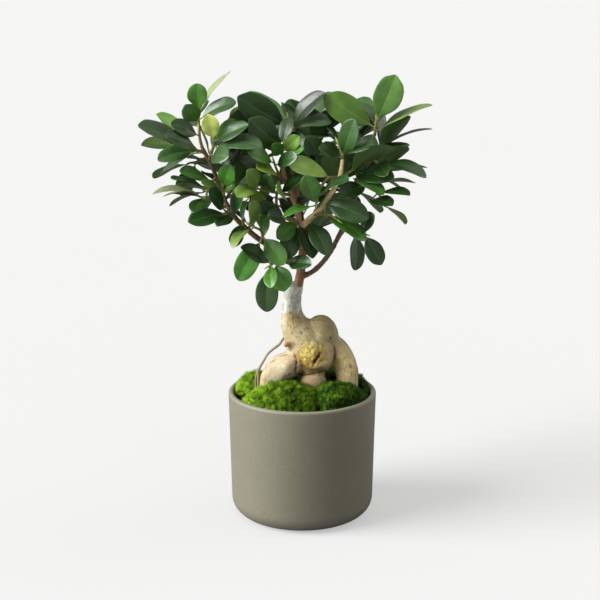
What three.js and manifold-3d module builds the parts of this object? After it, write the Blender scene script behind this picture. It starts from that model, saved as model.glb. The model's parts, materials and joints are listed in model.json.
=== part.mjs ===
// Ficus ginseng bonsai in a plain round pot.
// Millimetres, +Z up. The origin is the middle of the pot's flat underside.
// The front is the -Y side, and +X is to the right when the plant is seen from the front.
import * as THREE from 'three';
import { mergeVertices } from 'three/addons/utils/BufferGeometryUtils.js';
import Module from 'manifold-3d';

const wasm = await Module();
wasm.setup();

// Driving dimensions
const GAP = 0.3;
const POT_HEIGHT = 112;
const POT_RIM_RADIUS = 65;
const POT_BASE_RADIUS = 62.5;
const POT_WALL = 4.8;
const POT_FLOOR = 6;
const POT_HEEL_ROUND = 15;
const POT_INNER_HEEL = 10;
const POT_RIM_ROUND = 2.2;
const POT_SIDES = 32;
const SOIL_EDGE_HEIGHT = 104;
const SOIL_MOUND = 10;
const LEAF_THICKNESS = 1.3;
const PETIOLE_THICKNESS = 1.5;
const PETIOLE_SHARE = 0.1;
const LEAF_SLIMNESS = 0.53;
const LEAF_FOLD = 0.1;
const PETIOLE_HALF_WIDTH = 0.8;
const LEAF_CLEARANCE = 0.35;
const NEAR_THE_TWIG = 6;
const LEAFLESS_START = 0.4;

// The growth is laid out as it looks from the front. A point is given by the place (x, z)
// where it shows on the upright plane through the pot's axis, and by its depth y.
const EYE = new THREE.Vector3(-2, -1164.2, 484.4);

function seen(x, z, y) {
  const reach = (y - EYE.y) / -EYE.y;
  return new THREE.Vector3(EYE.x + (x - EYE.x) * reach, y, EYE.z + (z - EYE.z) * reach);
}

// Solids and meshes
function solidFrom(positions, triangles) {
  const mesh = new wasm.Mesh({
    numProp: 3,
    vertProperties: new Float32Array(positions),
    triVerts: new Uint32Array(triangles),
  });
  return new wasm.Manifold(mesh);
}

function solidOf(geometry) {
  geometry.deleteAttribute('normal');
  geometry.deleteAttribute('uv');
  const merged = mergeVertices(geometry, 1e-3);
  return solidFrom(merged.attributes.position.array, merged.index.array);
}

function meshOf(name, solid, { color, roughness }) {
  const { vertProperties, triVerts } = solid.getMesh();
  const geometry = new THREE.BufferGeometry();
  geometry.setAttribute('position', new THREE.BufferAttribute(vertProperties, 3));
  geometry.setIndex(new THREE.BufferAttribute(triVerts, 1));
  const material = new THREE.MeshStandardMaterial({ color, roughness, metalness: 0 });
  const mesh = new THREE.Mesh(geometry, material);
  mesh.name = name;
  return mesh;
}

function largestPiece(solid) {
  const pieces = solid.decompose();
  pieces.sort((a, b) => b.volume() - a.volume());
  return pieces[0];
}

// A closed skin over rings of points, each ring seen counter-clockwise from ahead of it.
// It ends in a flat cap, or in a point where an apex is given.
function loft(rings, apex = null) {
  const count = rings[0].length;
  const positions = rings.flat().flatMap((point) => [point.x, point.y, point.z]);
  const triangles = [];
  for (let start = 0; start < (rings.length - 1) * count; start += count) {
    for (let i = 0; i < count; i++) {
      const here = start + i;
      const beside = start + ((i + 1) % count);
      triangles.push(here, beside, beside + count, here, beside + count, here + count);
    }
  }
  const last = (rings.length - 1) * count;
  for (let i = 1; i + 1 < count; i++) {
    triangles.push(0, i + 1, i);
    if (apex === null) {
      triangles.push(last, last + i, last + i + 1);
    }
  }
  if (apex !== null) {
    positions.push(apex.x, apex.y, apex.z);
    for (let i = 0; i < count; i++) {
      triangles.push(last + i, last + ((i + 1) % count), last + count);
    }
  }
  return solidFrom(positions, triangles);
}

// A limb, root or twig through points [x, z, y, radius] of the front view.
// growth widens it all round, lumps is how far its sides swell in and out.
function limb(route, { sides = 8, steps = 2, growth = 0, lumps = 0 } = {}) {
  const curve = new THREE.CatmullRomCurve3(route.map(([x, z, y]) => seen(x, z, y)));
  const stations = (route.length - 1) * steps;
  const rings = [];
  let across = new THREE.Vector3(0.31, 0.95, 0.07);
  for (let station = 0; station <= stations; station++) {
    const share = station / stations;
    const centre = curve.getPoint(share);
    const ahead = curve.getTangent(share);
    across = across.clone().addScaledVector(ahead, -across.dot(ahead)).normalize();
    const up = ahead.clone().cross(across);
    const knot = Math.min(Math.floor(station / steps), route.length - 2);
    const radius = THREE.MathUtils.lerp(route[knot][3], route[knot + 1][3], station / steps - knot);
    const ring = [];
    for (let side = 0; side < sides; side++) {
      const angle = (side / sides) * 2 * Math.PI;
      const broad = Math.sin(3 * angle + 1.7 * station);
      const small = 0.6 * Math.cos(5 * angle + station);
      const reach = radius * (1 + lumps * (broad + small)) + growth;
      ring.push(centre.clone()
        .addScaledVector(across, reach * Math.cos(angle))
        .addScaledVector(up, reach * Math.sin(angle)));
    }
    rings.push(ring);
  }
  return loft(rings);
}

function joined(solids) {
  return solids.reduce((sum, solid) => sum.add(solid));
}

// Pot: one turned shell with a flat base
function potOuterRadius(height) {
  return THREE.MathUtils.lerp(POT_BASE_RADIUS, POT_RIM_RADIUS, height / POT_HEIGHT);
}

function potInnerRadius(height) {
  return potOuterRadius(height) - POT_WALL;
}

function roundedCorner(centreX, centreY, radius, fromDegrees, toDegrees, steps) {
  const points = [];
  for (let step = 0; step <= steps; step++) {
    const angle = THREE.MathUtils.degToRad(THREE.MathUtils.lerp(fromDegrees, toDegrees, step / steps));
    points.push(new THREE.Vector2(centreX + radius * Math.cos(angle), centreY + radius * Math.sin(angle)));
  }
  return points;
}

function turned(profile) {
  const geometry = new THREE.LatheGeometry(profile, POT_SIDES);
  geometry.rotateX(Math.PI / 2);
  return solidOf(geometry);
}

function potSolid() {
  const heelX = potOuterRadius(POT_HEEL_ROUND) - POT_HEEL_ROUND;
  const innerHeelZ = POT_FLOOR + POT_INNER_HEEL;
  const innerHeelX = potInnerRadius(innerHeelZ) - POT_INNER_HEEL;
  const rimZ = POT_HEIGHT - POT_RIM_ROUND;
  return turned([
    new THREE.Vector2(0, 0),
    ...roundedCorner(heelX, POT_HEEL_ROUND, POT_HEEL_ROUND, -90, 0, 4),
    ...roundedCorner(POT_RIM_RADIUS - POT_RIM_ROUND, rimZ, POT_RIM_ROUND, 0, 90, 2),
    ...roundedCorner(potInnerRadius(POT_HEIGHT) + POT_RIM_ROUND, rimZ, POT_RIM_ROUND, 90, 180, 2),
    ...roundedCorner(innerHeelX, innerHeelZ, POT_INNER_HEEL, 0, -90, 2),
    new THREE.Vector2(0, POT_FLOOR),
  ]);
}

// Rootstock: swollen roots that meet under a stout neck. Routes are [x, z, y, radius].
const THICK_ROOTS = [
  // body, from the neck down to the lip of the pruned face
  [[-6.6, 206.5, 0, 6], [-8.4, 203, 0, 7], [-8.9, 196, 0, 7.2], [-8.4, 181, 0, 10], [-6, 173, 0, 12.6],
    [-1, 163, 0, 16.2], [6, 151, 0, 20.6], [9, 143, -1, 20.2], [9.5, 136, -1, 17.5],
    [9.5, 132.5, -1, 13.5], [9.5, 130, 0, 7]],
  // round shoulder at the upper right
  [[-3, 165, 2, 8], [8, 165.5, 1, 11.3], [16, 166, 0, 13.6], [21.5, 162, 0, 11.4], [24, 154, 0, 7]],
  // right leg
  [[12, 152, 3, 11], [20.5, 153, 3, 11.2], [27.5, 150.3, 3, 11.2], [32.7, 145, 2.5, 11], [36.2, 138, 2, 10.6],
    [38.6, 129.6, 1, 10.1], [39.7, 119, 0, 9.2], [40.5, 108, 0, 8.4], [41, 92, 0, 4.5]],
  // left leg, with a blunt end at the pruned face
  [[-3, 136, -9, 6.5], [-6, 135.5, -9.5, 9.8], [-10.5, 134.5, -9.3, 11.6], [-16, 132.6, -9, 12.2],
    [-21.5, 128.4, -8.5, 11.9], [-26.6, 122.6, -8, 10.8], [-29.2, 115, -7, 9.3], [-30.3, 106, -6, 7.3],
    [-30.5, 92, -4, 4]],
  // lump in the middle
  [[9, 135, -2, 7.5], [9, 126, -6, 10.2], [9, 118.5, -7, 12.2], [9, 110, -6, 10.8], [9, 92, -3, 5.5]],
  // legs behind
  [[8, 143, 8, 13.5], [7, 133, 20, 10.5], [7, 120, 25, 9], [7, 105, 26, 6.5], [7, 92, 26, 4]],
  [[-1, 144, 6, 11], [-10, 136, 14, 9], [-17, 128, 19, 7.5], [-20, 117, 21, 6.5], [-21, 92, 21, 4]],
  [[20, 150, 6, 11.5], [32, 143, 14, 9], [38, 132, 18, 7.5], [39, 118, 20, 6.5], [39, 92, 20, 4]],
];
const THIN_ROOTS = [
  // broken stub beside the neck
  [[-5, 156, -8, 3.2], [-12, 154, -12, 3], [-16, 153, -13.5, 2.6]],
  // aerial root that hangs from the neck past the left leg
  [[-12, 162, -2, 1.2], [-16.5, 158.5, -3, 1.2], [-20, 153.5, -4, 1.2], [-26.5, 148, -5, 1.1],
    [-31, 143.5, -6, 1.1], [-35, 137, -7, 1.1], [-38.2, 129, -8, 1.1], [-38.8, 118, -8, 1.1], [-38.8, 98, -8, 1]],
  [[-35.6, 136, -7.3, 0.9], [-39, 129.5, -6.5, 0.9], [-41, 120, -6, 0.9], [-41.3, 98, -6, 0.8]],
  // rootlet in the hollow under the left leg
  [[-4.5, 131, -6, 0.9], [-3.6, 122, -7, 0.9], [-3.4, 98, -7, 0.8]],
];
const FACE_SLIT = [
  [9, 136.5, -21, 1.3], [10.8, 139, -20.5, 2.2], [13.6, 143.5, -20.5, 2.7], [15.4, 147, -21.5, 1.4],
];

function rootSolid(growth) {
  const thick = THICK_ROOTS.map((route) => limb(route, { sides: 10, steps: 1, growth, lumps: 0.03 }));
  const thin = THIN_ROOTS.map((route) => limb(route, { sides: 5, steps: 1, growth }));
  return joined([...thick, ...thin]);
}

// Woody branches of the grafted top, all grown from one stem. Routes are [x, z, y, radius].
const STEM = [
  [-3.9, 199, 0, 3.9], [-3.6, 206, 0, 4.3], [-2, 214, 0, 3.9], [-1, 222, 0, 3.7], [0, 233, 0, 3.4],
  [0.6, 245, 0, 3.2], [-1, 255, 0, 3.1], [-2, 263, 0, 2.6],
];
const BRANCHES = [
  // left bough that ends in the far left stem
  [
    [-1, 223, 0, 3], [-18, 234, -2, 2.7], [-37, 247, -6, 2.4], [-46, 254.5, -8, 2.3],
    [-55, 263, -10, 2.1], [-61, 271, -11, 2], [-66, 281, -12, 1.8], [-72, 298, -12, 1.7],
    [-79, 315, -12, 1.6], [-84, 325, -13, 1.5],
  ],
  // brown stem left of the middle
  [
    [-1, 256, 0, 2.6], [-3.5, 266, -2, 2.5], [-5, 275, -4, 2.3], [-8.5, 284, -6, 2.2],
    [-13, 294, -8, 2], [-16, 305, -9, 1.8], [-17, 318, -9, 1.4],
  ],
  // upright stem to the top
  [[-2, 258, 0, 2.4], [-4, 276, 5, 2.2], [-7, 298, 9, 1.9], [-10, 322, 9, 1.7], [-11, 341, 8, 1.3]],
  // pale branch to the right
  [
    [-1, 257, 0, 2.3], [5, 264, -4, 2.3], [11, 269, -8, 2.2], [16, 274, -10, 2.1], [21, 282, -12, 2],
    [27, 291, -14, 1.9], [32, 303, -14, 1.7], [34, 316, -14, 1.4],
  ],
  // low dark branch that climbs to the right stem
  [
    [-0.5, 214, 0, 2.3], [8, 218, 0, 2.2], [15, 224, 0, 2.1], [23, 234, 1, 2], [30, 247, 3, 2],
    [37, 262, 6, 1.9], [44, 280, 9, 1.8], [51, 303, 10, 1.7], [57, 320, 8, 1.6], [61, 338, 6, 1.3],
  ],
  // branches behind
  [[0, 240, 0, 2.5], [-12, 256, 14, 2.2], [-24, 275, 30, 2], [-34, 292, 42, 1.7], [-40, 308, 48, 1.3]],
  [[0, 248, 0, 2.5], [10, 262, 14, 2.3], [22, 280, 30, 2], [32, 300, 42, 1.7], [38, 316, 48, 1.3]],
  [[-1, 257, 1, 2.3], [-1, 273, 14, 2.1], [0, 290, 26, 1.9], [2, 305, 33, 1.6], [3, 318, 36, 1.3]],
  [[0, 229, 0, 2.2], [3, 239, 14, 2], [4, 250, 30, 1.7], [2, 262, 44, 1.3]],
];

function branchSolid(growth) {
  const stem = limb(STEM, { sides: 8, steps: 1, growth });
  const boughs = BRANCHES.map((route) => limb(route, { sides: 5, steps: 1, growth }));
  return joined([stem, ...boughs]);
}

// Leafy shoots. A twig is a route [x, z, y, radius] that starts in a branch.
// A leaf is [x, z of its base, x, z of its tip, seen width, how far the tip lies back, bow].
// A negative width shows the leaf's pale underside.
const SHOOTS = [
  {
    name: 'shoot_front_right',
    color: 0x6f9a4c,
    twig: [[31, 300, -14, 1.4], [22, 300, -20, 1.2], [14, 288, -24, 1.1], [12, 277, -24, 1]],
    leaves: [
      [25, 301, -12, 313, 15, -12, 0.07], [11, 276, 6, 307, 17, -2, 0.06],
      [12, 277, -16, 267, 6, -14, 0.06], [14, 285, 40, 299, 7, -22, 0.08],
    ],
  },
  {
    name: 'shoot_right_tip',
    color: 0x4f7f3c,
    twig: [[34, 314, -14, 1.3], [33, 322, -14, 1.1], [30, 330, -14, 0.9]],
    leaves: [
      [35, 313, 44, 350, 17, -17, 0.06], [15, 320, 3, 335, 16, -12, 0.08],
      [31, 331, 19, 345.5, 4, 14, 0.1], [31, 316, 14, 326, 13, -22, 0.08],
      [33, 320, 52, 326, 10, -26, 0.08],
    ],
  },
  {
    name: 'shoot_right_top',
    color: 0x7da45a,
    twig: [[61, 336, 6, 1.4], [61.5, 344, 5, 1.2], [62, 350, 5, 0.9]],
    leaves: [
      [56, 343, 18.5, 370, 25, -8, 0.05], [62, 347, 78, 387, 25, -4, 0.05],
      [62, 345, 84, 370.5, 7, 18, 0.08], [63, 338, 109, 362, 6, 8, 0.06],
      [60, 340, 50, 316, 18, -16, 0.08], [60, 346, 47, 363, 12, 26, 0.08],
    ],
  },
  {
    name: 'shoot_right_outer',
    color: 0x43703a,
    twig: [[56, 317, 8, 1.3], [61, 315, 4, 1.2], [66, 312, 0, 0.9]],
    leaves: [
      [60, 317, 90, 329, 10, 20, 0.06], [63, 308, 105.5, 300.5, 10, -6, 0.13],
      [62, 312, 76, 297, 16, -26, 0.08], [58, 316, 40, 322, 16, -22, 0.08],
    ],
  },
  {
    name: 'shoot_right_middle',
    color: 0x43703a,
    twig: [[49, 297, 10, 1.3], [55, 294, 4, 1.2], [62, 289, 0, 1.1], [68, 283, -2, 0.9]],
    leaves: [
      [45, 303, 78, 300, 16, -24, 0.07], [43, 300, 66, 287, 10, -30, 0.08],
      [66, 290, 85, 285.5, 7, -30, 0.08], [58, 281, 77, 276, 10, -28, 0.07],
      [70, 276, 88, 260, -5, 18, 0.08], [56, 293, 37, 291, 14, -26, 0.08],
    ],
  },
  {
    name: 'shoot_right_low',
    color: 0x43703a,
    twig: [[10, 268, -8, 1.5], [15, 269, -14, 1.3], [24, 268, -20, 1.1], [30, 264, -22, 0.9]],
    leaves: [
      [20, 278, 57, 265, 20, -14, 0.07], [18, 268, 55, 246, 13, -8, 0.06],
      [6, 262, 22, 232.5, 17, -22, 0.07], [27, 266, 52, 272, 13, -26, 0.08],
    ],
  },
  {
    name: 'shoot_right_hanging',
    color: 0x3d6a36,
    twig: [[32, 250, 3, 1.4], [38, 256, 0, 1.2], [45, 255, -3, 1.1], [53, 252, -4, 0.9]],
    leaves: [
      [45, 254, 45.5, 219.5, 13, -12, 0.06], [54, 251, 68.5, 224.5, 16, -8, 0.06],
      [50, 254, 62, 268, 13, -26, 0.08], [38, 255, 30, 237, 13, 24, 0.08],
    ],
  },
  {
    name: 'shoot_centre_top',
    color: 0x3f6b3a,
    twig: [[-10.8, 338, 8, 1.4], [-11, 345, 6, 1.2], [-12, 351, 4, 0.9]],
    leaves: [
      [-15, 344, -54.5, 369, 25, -12, 0.06], [-9, 344, 19, 372, 14, -10, 0.08],
      [-13, 345, -14, 363, 12, 30, 0.08], [-6, 339, 25, 347, 10, -12, 0.14],
      [-14, 349, -43, 372, 6, 22, 0.08], [-11, 340, 2, 322, 16, -26, 0.08],
    ],
  },
  {
    name: 'shoot_centre_young',
    color: 0x86b13f,
    twig: [[-17, 315, -9, 1.4], [-17, 322, -11, 1.2], [-16, 329, -12, 0.9]],
    leaves: [
      [-17, 327, -45, 350, 22, -14, 0.07], [-17, 320, -29, 332, 12, -16, 0.06],
      [-15, 322, -2, 336, 12, -14, 0.06], [-16, 318, 4, 329, 7, -12, 0.06],
      [-16, 326, -12, 346, 12, 22, 0.08],
    ],
  },
  {
    name: 'shoot_centre_middle',
    color: 0x4c7c3c,
    twig: [[-14, 297, -8, 1.5], [-18, 301, -14, 1.3], [-22, 308, -18, 1.1], [-24, 314, -20, 0.9]],
    leaves: [
      [-20, 303, -54, 315, 13, -12, 0.09], [-23, 313, -46, 322, 12, -22, 0.08],
      [-17, 302, -39, 309, 7, -26, 0.06], [-14, 298, -17, 314, 12, -10, 0.06],
      [-23, 311, -4, 318, 12, -22, 0.08],
    ],
  },
  {
    name: 'shoot_centre_left',
    color: 0x4c7c3c,
    twig: [[-9, 285, -6, 1.5], [-18, 287, -12, 1.3], [-30, 289, -17, 1.1], [-38, 291, -20, 0.9]],
    leaves: [
      [-38, 291, -50, 312, 14, -18, 0.07], [-28, 288, -26, 306, 13, -26, 0.08],
      [-38, 290, -56, 284, 12, -28, 0.08], [-18, 288, -38, 296, 12, -30, 0.08],
      [-30, 288, -14, 281, 14, -26, 0.08], [-20, 286, -6, 296, 10, -26, 0.08],
    ],
  },
  {
    name: 'shoot_stem_front',
    color: 0x43703a,
    twig: [[-2, 262, 0, 1.6], [-7, 262, -10, 1.3], [-14, 265, -18, 1.1], [-20, 268, -22, 0.9]],
    leaves: [
      [-12, 268, -36, 277, 14, -14, 0.07], [-16, 264, -36, 268, 13, -22, 0.08],
      [-4, 259, -19, 250, 16, -20, 0.07], [-3, 258, -14, 231, 18, -22, 0.07],
      [-2, 260, 9, 230, 14, -24, 0.07], [-18, 266, -2, 282, 12, -20, 0.07],
    ],
  },
  {
    name: 'shoot_left_low',
    color: 0x4f8040,
    twig: [[-35, 246, -6, 1.6], [-34, 250, -12, 1.4], [-36, 255, -18, 1.1], [-42, 258, -20, 0.9]],
    leaves: [
      [-36, 252, -40, 284, 13, -16, 0.06], [-37, 248, -55.5, 210.5, 20, -10, 0.06],
      [-33, 250, -15, 225, 18, -14, 0.06], [-41, 258, -46, 287, 12, -22, 0.07],
      [-42, 257, -60, 239, 7, -20, 0.14], [-34, 251, -28, 266, 10, -24, 0.08],
    ],
  },
  {
    name: 'shoot_low_front',
    color: 0x4f8040,
    twig: [[-3, 221, 0, 1.6], [-12, 226, -8, 1.4], [-21, 228, -14, 1.2], [-28, 224, -18, 0.9]],
    leaves: [
      [-28, 221, -31, 182.5, 20, -8, 0.06], [-22, 225, -15, 201, 19, -12, 0.07],
      [-27, 226, -26.5, 204, 12, -22, 0.07], [-14, 227, 8, 225, 13, -22, 0.08],
      [-26, 225, -46, 236, 13, -24, 0.08],
    ],
  },
  {
    name: 'shoot_left_middle',
    color: 0x43703a,
    twig: [[-73, 301, -12, 1.5], [-77, 296, -14, 1.3], [-81, 289, -16, 1.1], [-82, 283, -17, 0.9]],
    leaves: [
      [-80, 291, -112, 300, 4, -16, 0.05], [-82, 284, -128, 286, 4, -6, 0.13],
      [-82, 281, -119, 284, 5, 10, 0.12], [-76, 297, -104, 305, 10, -24, 0.06],
      [-82, 282, -93, 270, 12, -28, 0.08],
    ],
  },
  {
    name: 'shoot_left_lower',
    color: 0x43703a,
    twig: [[-59, 268, -11, 1.5], [-63, 269, -15, 1.3], [-66, 272, -18, 0.9]],
    leaves: [
      [-64, 271, -98, 262, 15, -16, 0.06], [-60, 266, -75, 256, 12, -26, 0.08],
      [-66, 273, -80, 290, 12, -24, 0.07], [-62, 270, -50, 284, 12, -24, 0.08],
    ],
  },
  {
    name: 'shoot_left_pair',
    color: 0x86b13f,
    twig: [[-67, 283, -12, 1.4], [-67, 288, -16, 1.2], [-68, 293, -19, 0.9]],
    leaves: [
      [-67, 288, -90, 297.5, 7, -14, 0.06], [-67, 288, -57, 299, 7, -14, 0.06],
      [-68, 292, -58, 319, 15, -12, 0.07], [-68, 292, -47, 322, 13, -20, 0.06],
    ],
  },
  {
    name: 'shoot_left_inner',
    color: 0x2f5548,
    twig: [[-79, 315, -12, 1.5], [-77, 321, -15, 1.3], [-75, 328, -18, 1.1], [-75, 333, -19, 0.9]],
    leaves: [
      [-77, 327, -29, 326, 13, -12, 0.12], [-76, 331, -45, 345, 12, -16, 0.06],
      [-77, 332, -55, 349, 13, 12, 0.08], [-77, 320, -62, 318, 16, -32, 0.08],
      [-75, 332, -80, 354, 15, -10, 0.05],
    ],
  },
  {
    name: 'shoot_left_outer',
    color: 0x2f5548,
    twig: [[-82, 321, -13, 1.5], [-86, 323, -15, 1.3], [-91, 324, -17, 1.1], [-96, 326, -18, 0.9]],
    leaves: [
      [-90, 325, -144.5, 347, 13, -10, 0.06], [-90, 324, -122.5, 315, 13, -20, 0.08],
      [-95, 325, -136, 327.5, -10, 14, 0.06], [-90, 324, -123, 354, -12, 20, 0.06],
      [-86, 324, -119, 337, 12, -26, 0.07], [-88, 322, -120.5, 303, 7, 16, 0.08],
      [-85, 321, -118, 312, 10, 26, 0.08],
    ],
  },
  {
    name: 'shoot_left_top',
    color: 0x5f9445,
    twig: [[-84, 324, -13, 1.5], [-86.5, 334, -13, 1.3], [-87, 347, -12, 1.1], [-87, 358, -12, 0.9]],
    leaves: [
      [-87, 357, -88, 380, 17, -2, 0.05], [-86, 356, -59, 391, 4, 6, 0.05],
      [-87, 347, -99, 364, 16, -12, 0.07], [-86, 350, -55.5, 364.5, 12, -8, 0.1],
      [-86, 336, -111, 346, 13, -20, 0.07], [-87, 344, -98, 345, 7, 26, 0.08],
      [-86, 353, -82, 366, 10, 22, 0.08],
    ],
  },
  {
    name: 'shoot_inner_left',
    color: 0x35602f,
    twig: [[-22, 272, 28, 1.4], [-22, 284, 20, 1.2], [-20, 296, 14, 0.9]],
    leaves: [
      [-21, 291, -50, 316, 19, -4, 0.06], [-22, 284, -46, 276, 17, -6, 0.07],
      [-21, 292, -1, 317, 19, 6, 0.06], [-22, 283, -1, 270, 17, -4, 0.07],
    ],
  },
  {
    name: 'shoot_inner_right',
    color: 0x35602f,
    twig: [[21, 279, 29, 1.4], [26, 290, 20, 1.2], [28, 302, 16, 0.9]],
    leaves: [
      [27, 298, 3, 326, 19, 4, 0.06], [27, 297, 51, 322, 18, 4, 0.06],
      [26, 288, 50, 274, 17, -4, 0.07], [26, 290, 3, 285, 16, -6, 0.07],
    ],
  },
  {
    name: 'shoot_left_tuft',
    color: 0x43703a,
    twig: [[-50, 258, -9, 1.5], [-51, 266, -14, 1.3], [-49, 276, -18, 0.9]],
    leaves: [
      [-50, 262, -59, 240, 12, -20, 0.08], [-50, 270, -61, 283, 13, -26, 0.08],
      [-49, 275, -44, 300, 13, -18, 0.07], [-51, 268, -36, 262, 13, -24, 0.08],
    ],
  },
];

// Shoots behind, where each leaf follows the last by the golden angle.
// Each is the twig's route, the leaves' count and the mean leaf length.
const GOLDEN_ANGLE = THREE.MathUtils.degToRad(137.5);
const BARE_SHARE = 0.3;
const SPREAD_AT_FOOT = 72;
const SPREAD_LOSS = 34;
const LENGTH_SPREAD = 0.12;
const RULED_BOW = 0.07;
const LIFT = 0.1;
const FACING_OUT = 0.4;
const RULED_SHOOTS = [
  {
    name: 'shoot_back_left_tip',
    count: 5,
    length: 44,
    twig: [[-39, 305, 47, 1.2], [-44, 318, 54, 1.1], [-47, 332, 58, 0.9]],
  },
  {
    name: 'shoot_back_left',
    count: 5,
    length: 42,
    twig: [[-29, 284, 36, 1.3], [-41, 283, 46, 1.1], [-54, 285, 54, 0.9]],
  },
  {
    name: 'shoot_back_right_tip',
    count: 5,
    length: 44,
    twig: [[37, 313, 47, 1.2], [42, 326, 54, 1.1], [45, 338, 58, 0.9]],
  },
  {
    name: 'shoot_back_right',
    count: 5,
    length: 42,
    twig: [[27, 290, 36, 1.3], [39, 290, 46, 1.1], [52, 293, 54, 0.9]],
  },
  {
    name: 'shoot_back_top',
    count: 5,
    length: 44,
    twig: [[3, 315, 36, 1.2], [3, 325, 42, 1.1], [2, 336, 46, 0.9]],
  },
  {
    name: 'shoot_back_middle',
    count: 5,
    length: 44,
    twig: [[0, 288, 25, 1.3], [0, 294, 40, 1.1], [1, 302, 54, 0.9]],
  },
  {
    name: 'shoot_back_low',
    count: 5,
    length: 44,
    twig: [[2, 259, 42, 1.2], [0, 268, 54, 1.1], [-2, 279, 62, 0.9]],
  },
  {
    name: 'shoot_top_right',
    count: 5,
    length: 42,
    twig: [[-7, 300, 9, 1.4], [4, 316, 12, 1.2], [16, 334, 14, 0.9]],
  },
  {
    name: 'shoot_back_outer_left',
    count: 5,
    length: 42,
    twig: [[-74, 304, -12, 1.4], [-76, 312, 0, 1.2], [-78, 322, 14, 0.9]],
  },
  {
    name: 'shoot_back_outer_right',
    count: 5,
    length: 42,
    twig: [[54, 311, 9, 1.4], [62, 318, 20, 1.2], [68, 328, 28, 0.9]],
  },
  {
    name: 'shoot_deep_left',
    count: 5,
    length: 46,
    twig: [[-66, 281, -12, 1.3], [-60, 290, -2, 1.1], [-54, 300, 8, 0.9]],
  },
  {
    name: 'shoot_deep_left_high',
    count: 5,
    length: 46,
    twig: [[-77, 310, -12, 1.3], [-67, 318, -3, 1.1], [-58, 328, 5, 0.9]],
  },
  {
    name: 'shoot_deep_left_low',
    count: 5,
    length: 44,
    twig: [[-46, 254.5, -8, 1.3], [-44, 264, 3, 1.1], [-42, 276, 12, 0.9]],
  },
  {
    name: 'shoot_deep_centre_high',
    count: 5,
    length: 46,
    twig: [[-9, 312, 9, 1.3], [-20, 324, 12, 1.1], [-32, 336, 14, 0.9]],
  },
  {
    name: 'shoot_deep_right',
    count: 5,
    length: 46,
    twig: [[31, 301, -14, 1.3], [40, 305, -5, 1.1], [45, 312, 2, 0.9]],
  },
  {
    name: 'shoot_deep_right_low',
    count: 5,
    length: 44,
    twig: [[44, 280, 9, 1.3], [36, 286, 4, 1.1], [27, 292, 1, 0.9]],
  },
  {
    name: 'shoot_deep_right_high',
    count: 5,
    length: 46,
    twig: [[57, 320, 8, 1.3], [47, 328, 11, 1.1], [38, 338, 13, 0.9]],
  },
  {
    name: 'shoot_deep_low',
    count: 5,
    length: 44,
    twig: [[0.6, 243, 0, 1.3], [8, 252, 10, 1.1], [14, 263, 16, 0.9]],
  },
  {
    name: 'shoot_side_left',
    count: 6,
    length: 42,
    twig: [[-80.5, 318, -12, 1.3], [-89, 314, 2, 1.1], [-95, 313, 12, 0.9]],
  },
  {
    name: 'shoot_side_left_low',
    count: 6,
    length: 38,
    twig: [[-69, 290, -12, 1.3], [-76, 288, 0, 1.1], [-82, 289, 9, 0.9]],
  },
  {
    name: 'shoot_side_right',
    count: 6,
    length: 40,
    twig: [[50.5, 301, 10, 1.3], [60, 302, 15, 1.1], [69, 305, 18, 0.9]],
  },
];

// The nearest point of a twig to a place of the front view, its depth taken from the twig
function nearestOnTwig(twig, x, z) {
  let nearest = null;
  for (let i = 0; i + 1 < twig.length; i++) {
    const [x0, z0, y0] = twig[i];
    const [x1, z1, y1] = twig[i + 1];
    const run = (x1 - x0) ** 2 + (z1 - z0) ** 2;
    const along = ((x - x0) * (x1 - x0) + (z - z0) * (z1 - z0)) / run;
    const share = THREE.MathUtils.clamp(along, i === 0 ? LEAFLESS_START : 0, 1);
    const point = [x0 + (x1 - x0) * share, z0 + (z1 - z0) * share, y0 + (y1 - y0) * share];
    const distance = Math.hypot(point[0] - x, point[1] - z);
    if (nearest === null || distance < nearest.distance) {
      nearest = { distance, point };
    }
  }
  return nearest;
}

// A leaf is a foot on the twig, a neck where the blade starts, a tip, an upper side and a width
function leafAsSeen(twig, [baseX, baseZ, tipX, tipZ, seenWidth, back, bow]) {
  const { distance, point: [x, z, y] } = nearestOnTwig(twig, baseX, baseZ);
  const foot = seen(x, z, y);
  const tip = seen(tipX, tipZ, y + back);
  const near = foot.clone().lerp(tip, PETIOLE_SHARE);
  const neck = distance > NEAR_THE_TWIG ? seen(baseX, baseZ, y + 0.1 * back) : near;
  const axis = tip.clone().sub(neck).normalize();
  const blade = tip.distanceTo(neck);
  const width = Math.max(Math.abs(seenWidth), LEAF_SLIMNESS * blade);
  const toEye = EYE.clone().sub(neck).normalize();
  toEye.addScaledVector(axis, -toEye.dot(axis)).normalize();
  const upward = toEye.clone().cross(axis);
  if (upward.z < 0) {
    upward.negate();
  }
  const facing = (Math.sign(seenWidth) * Math.abs(seenWidth)) / width;
  const upper = toEye.multiplyScalar(facing).addScaledVector(upward, Math.sqrt(1 - facing * facing));
  return { foot, neck, tip, upper: upper.normalize(), width, bow };
}

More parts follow.
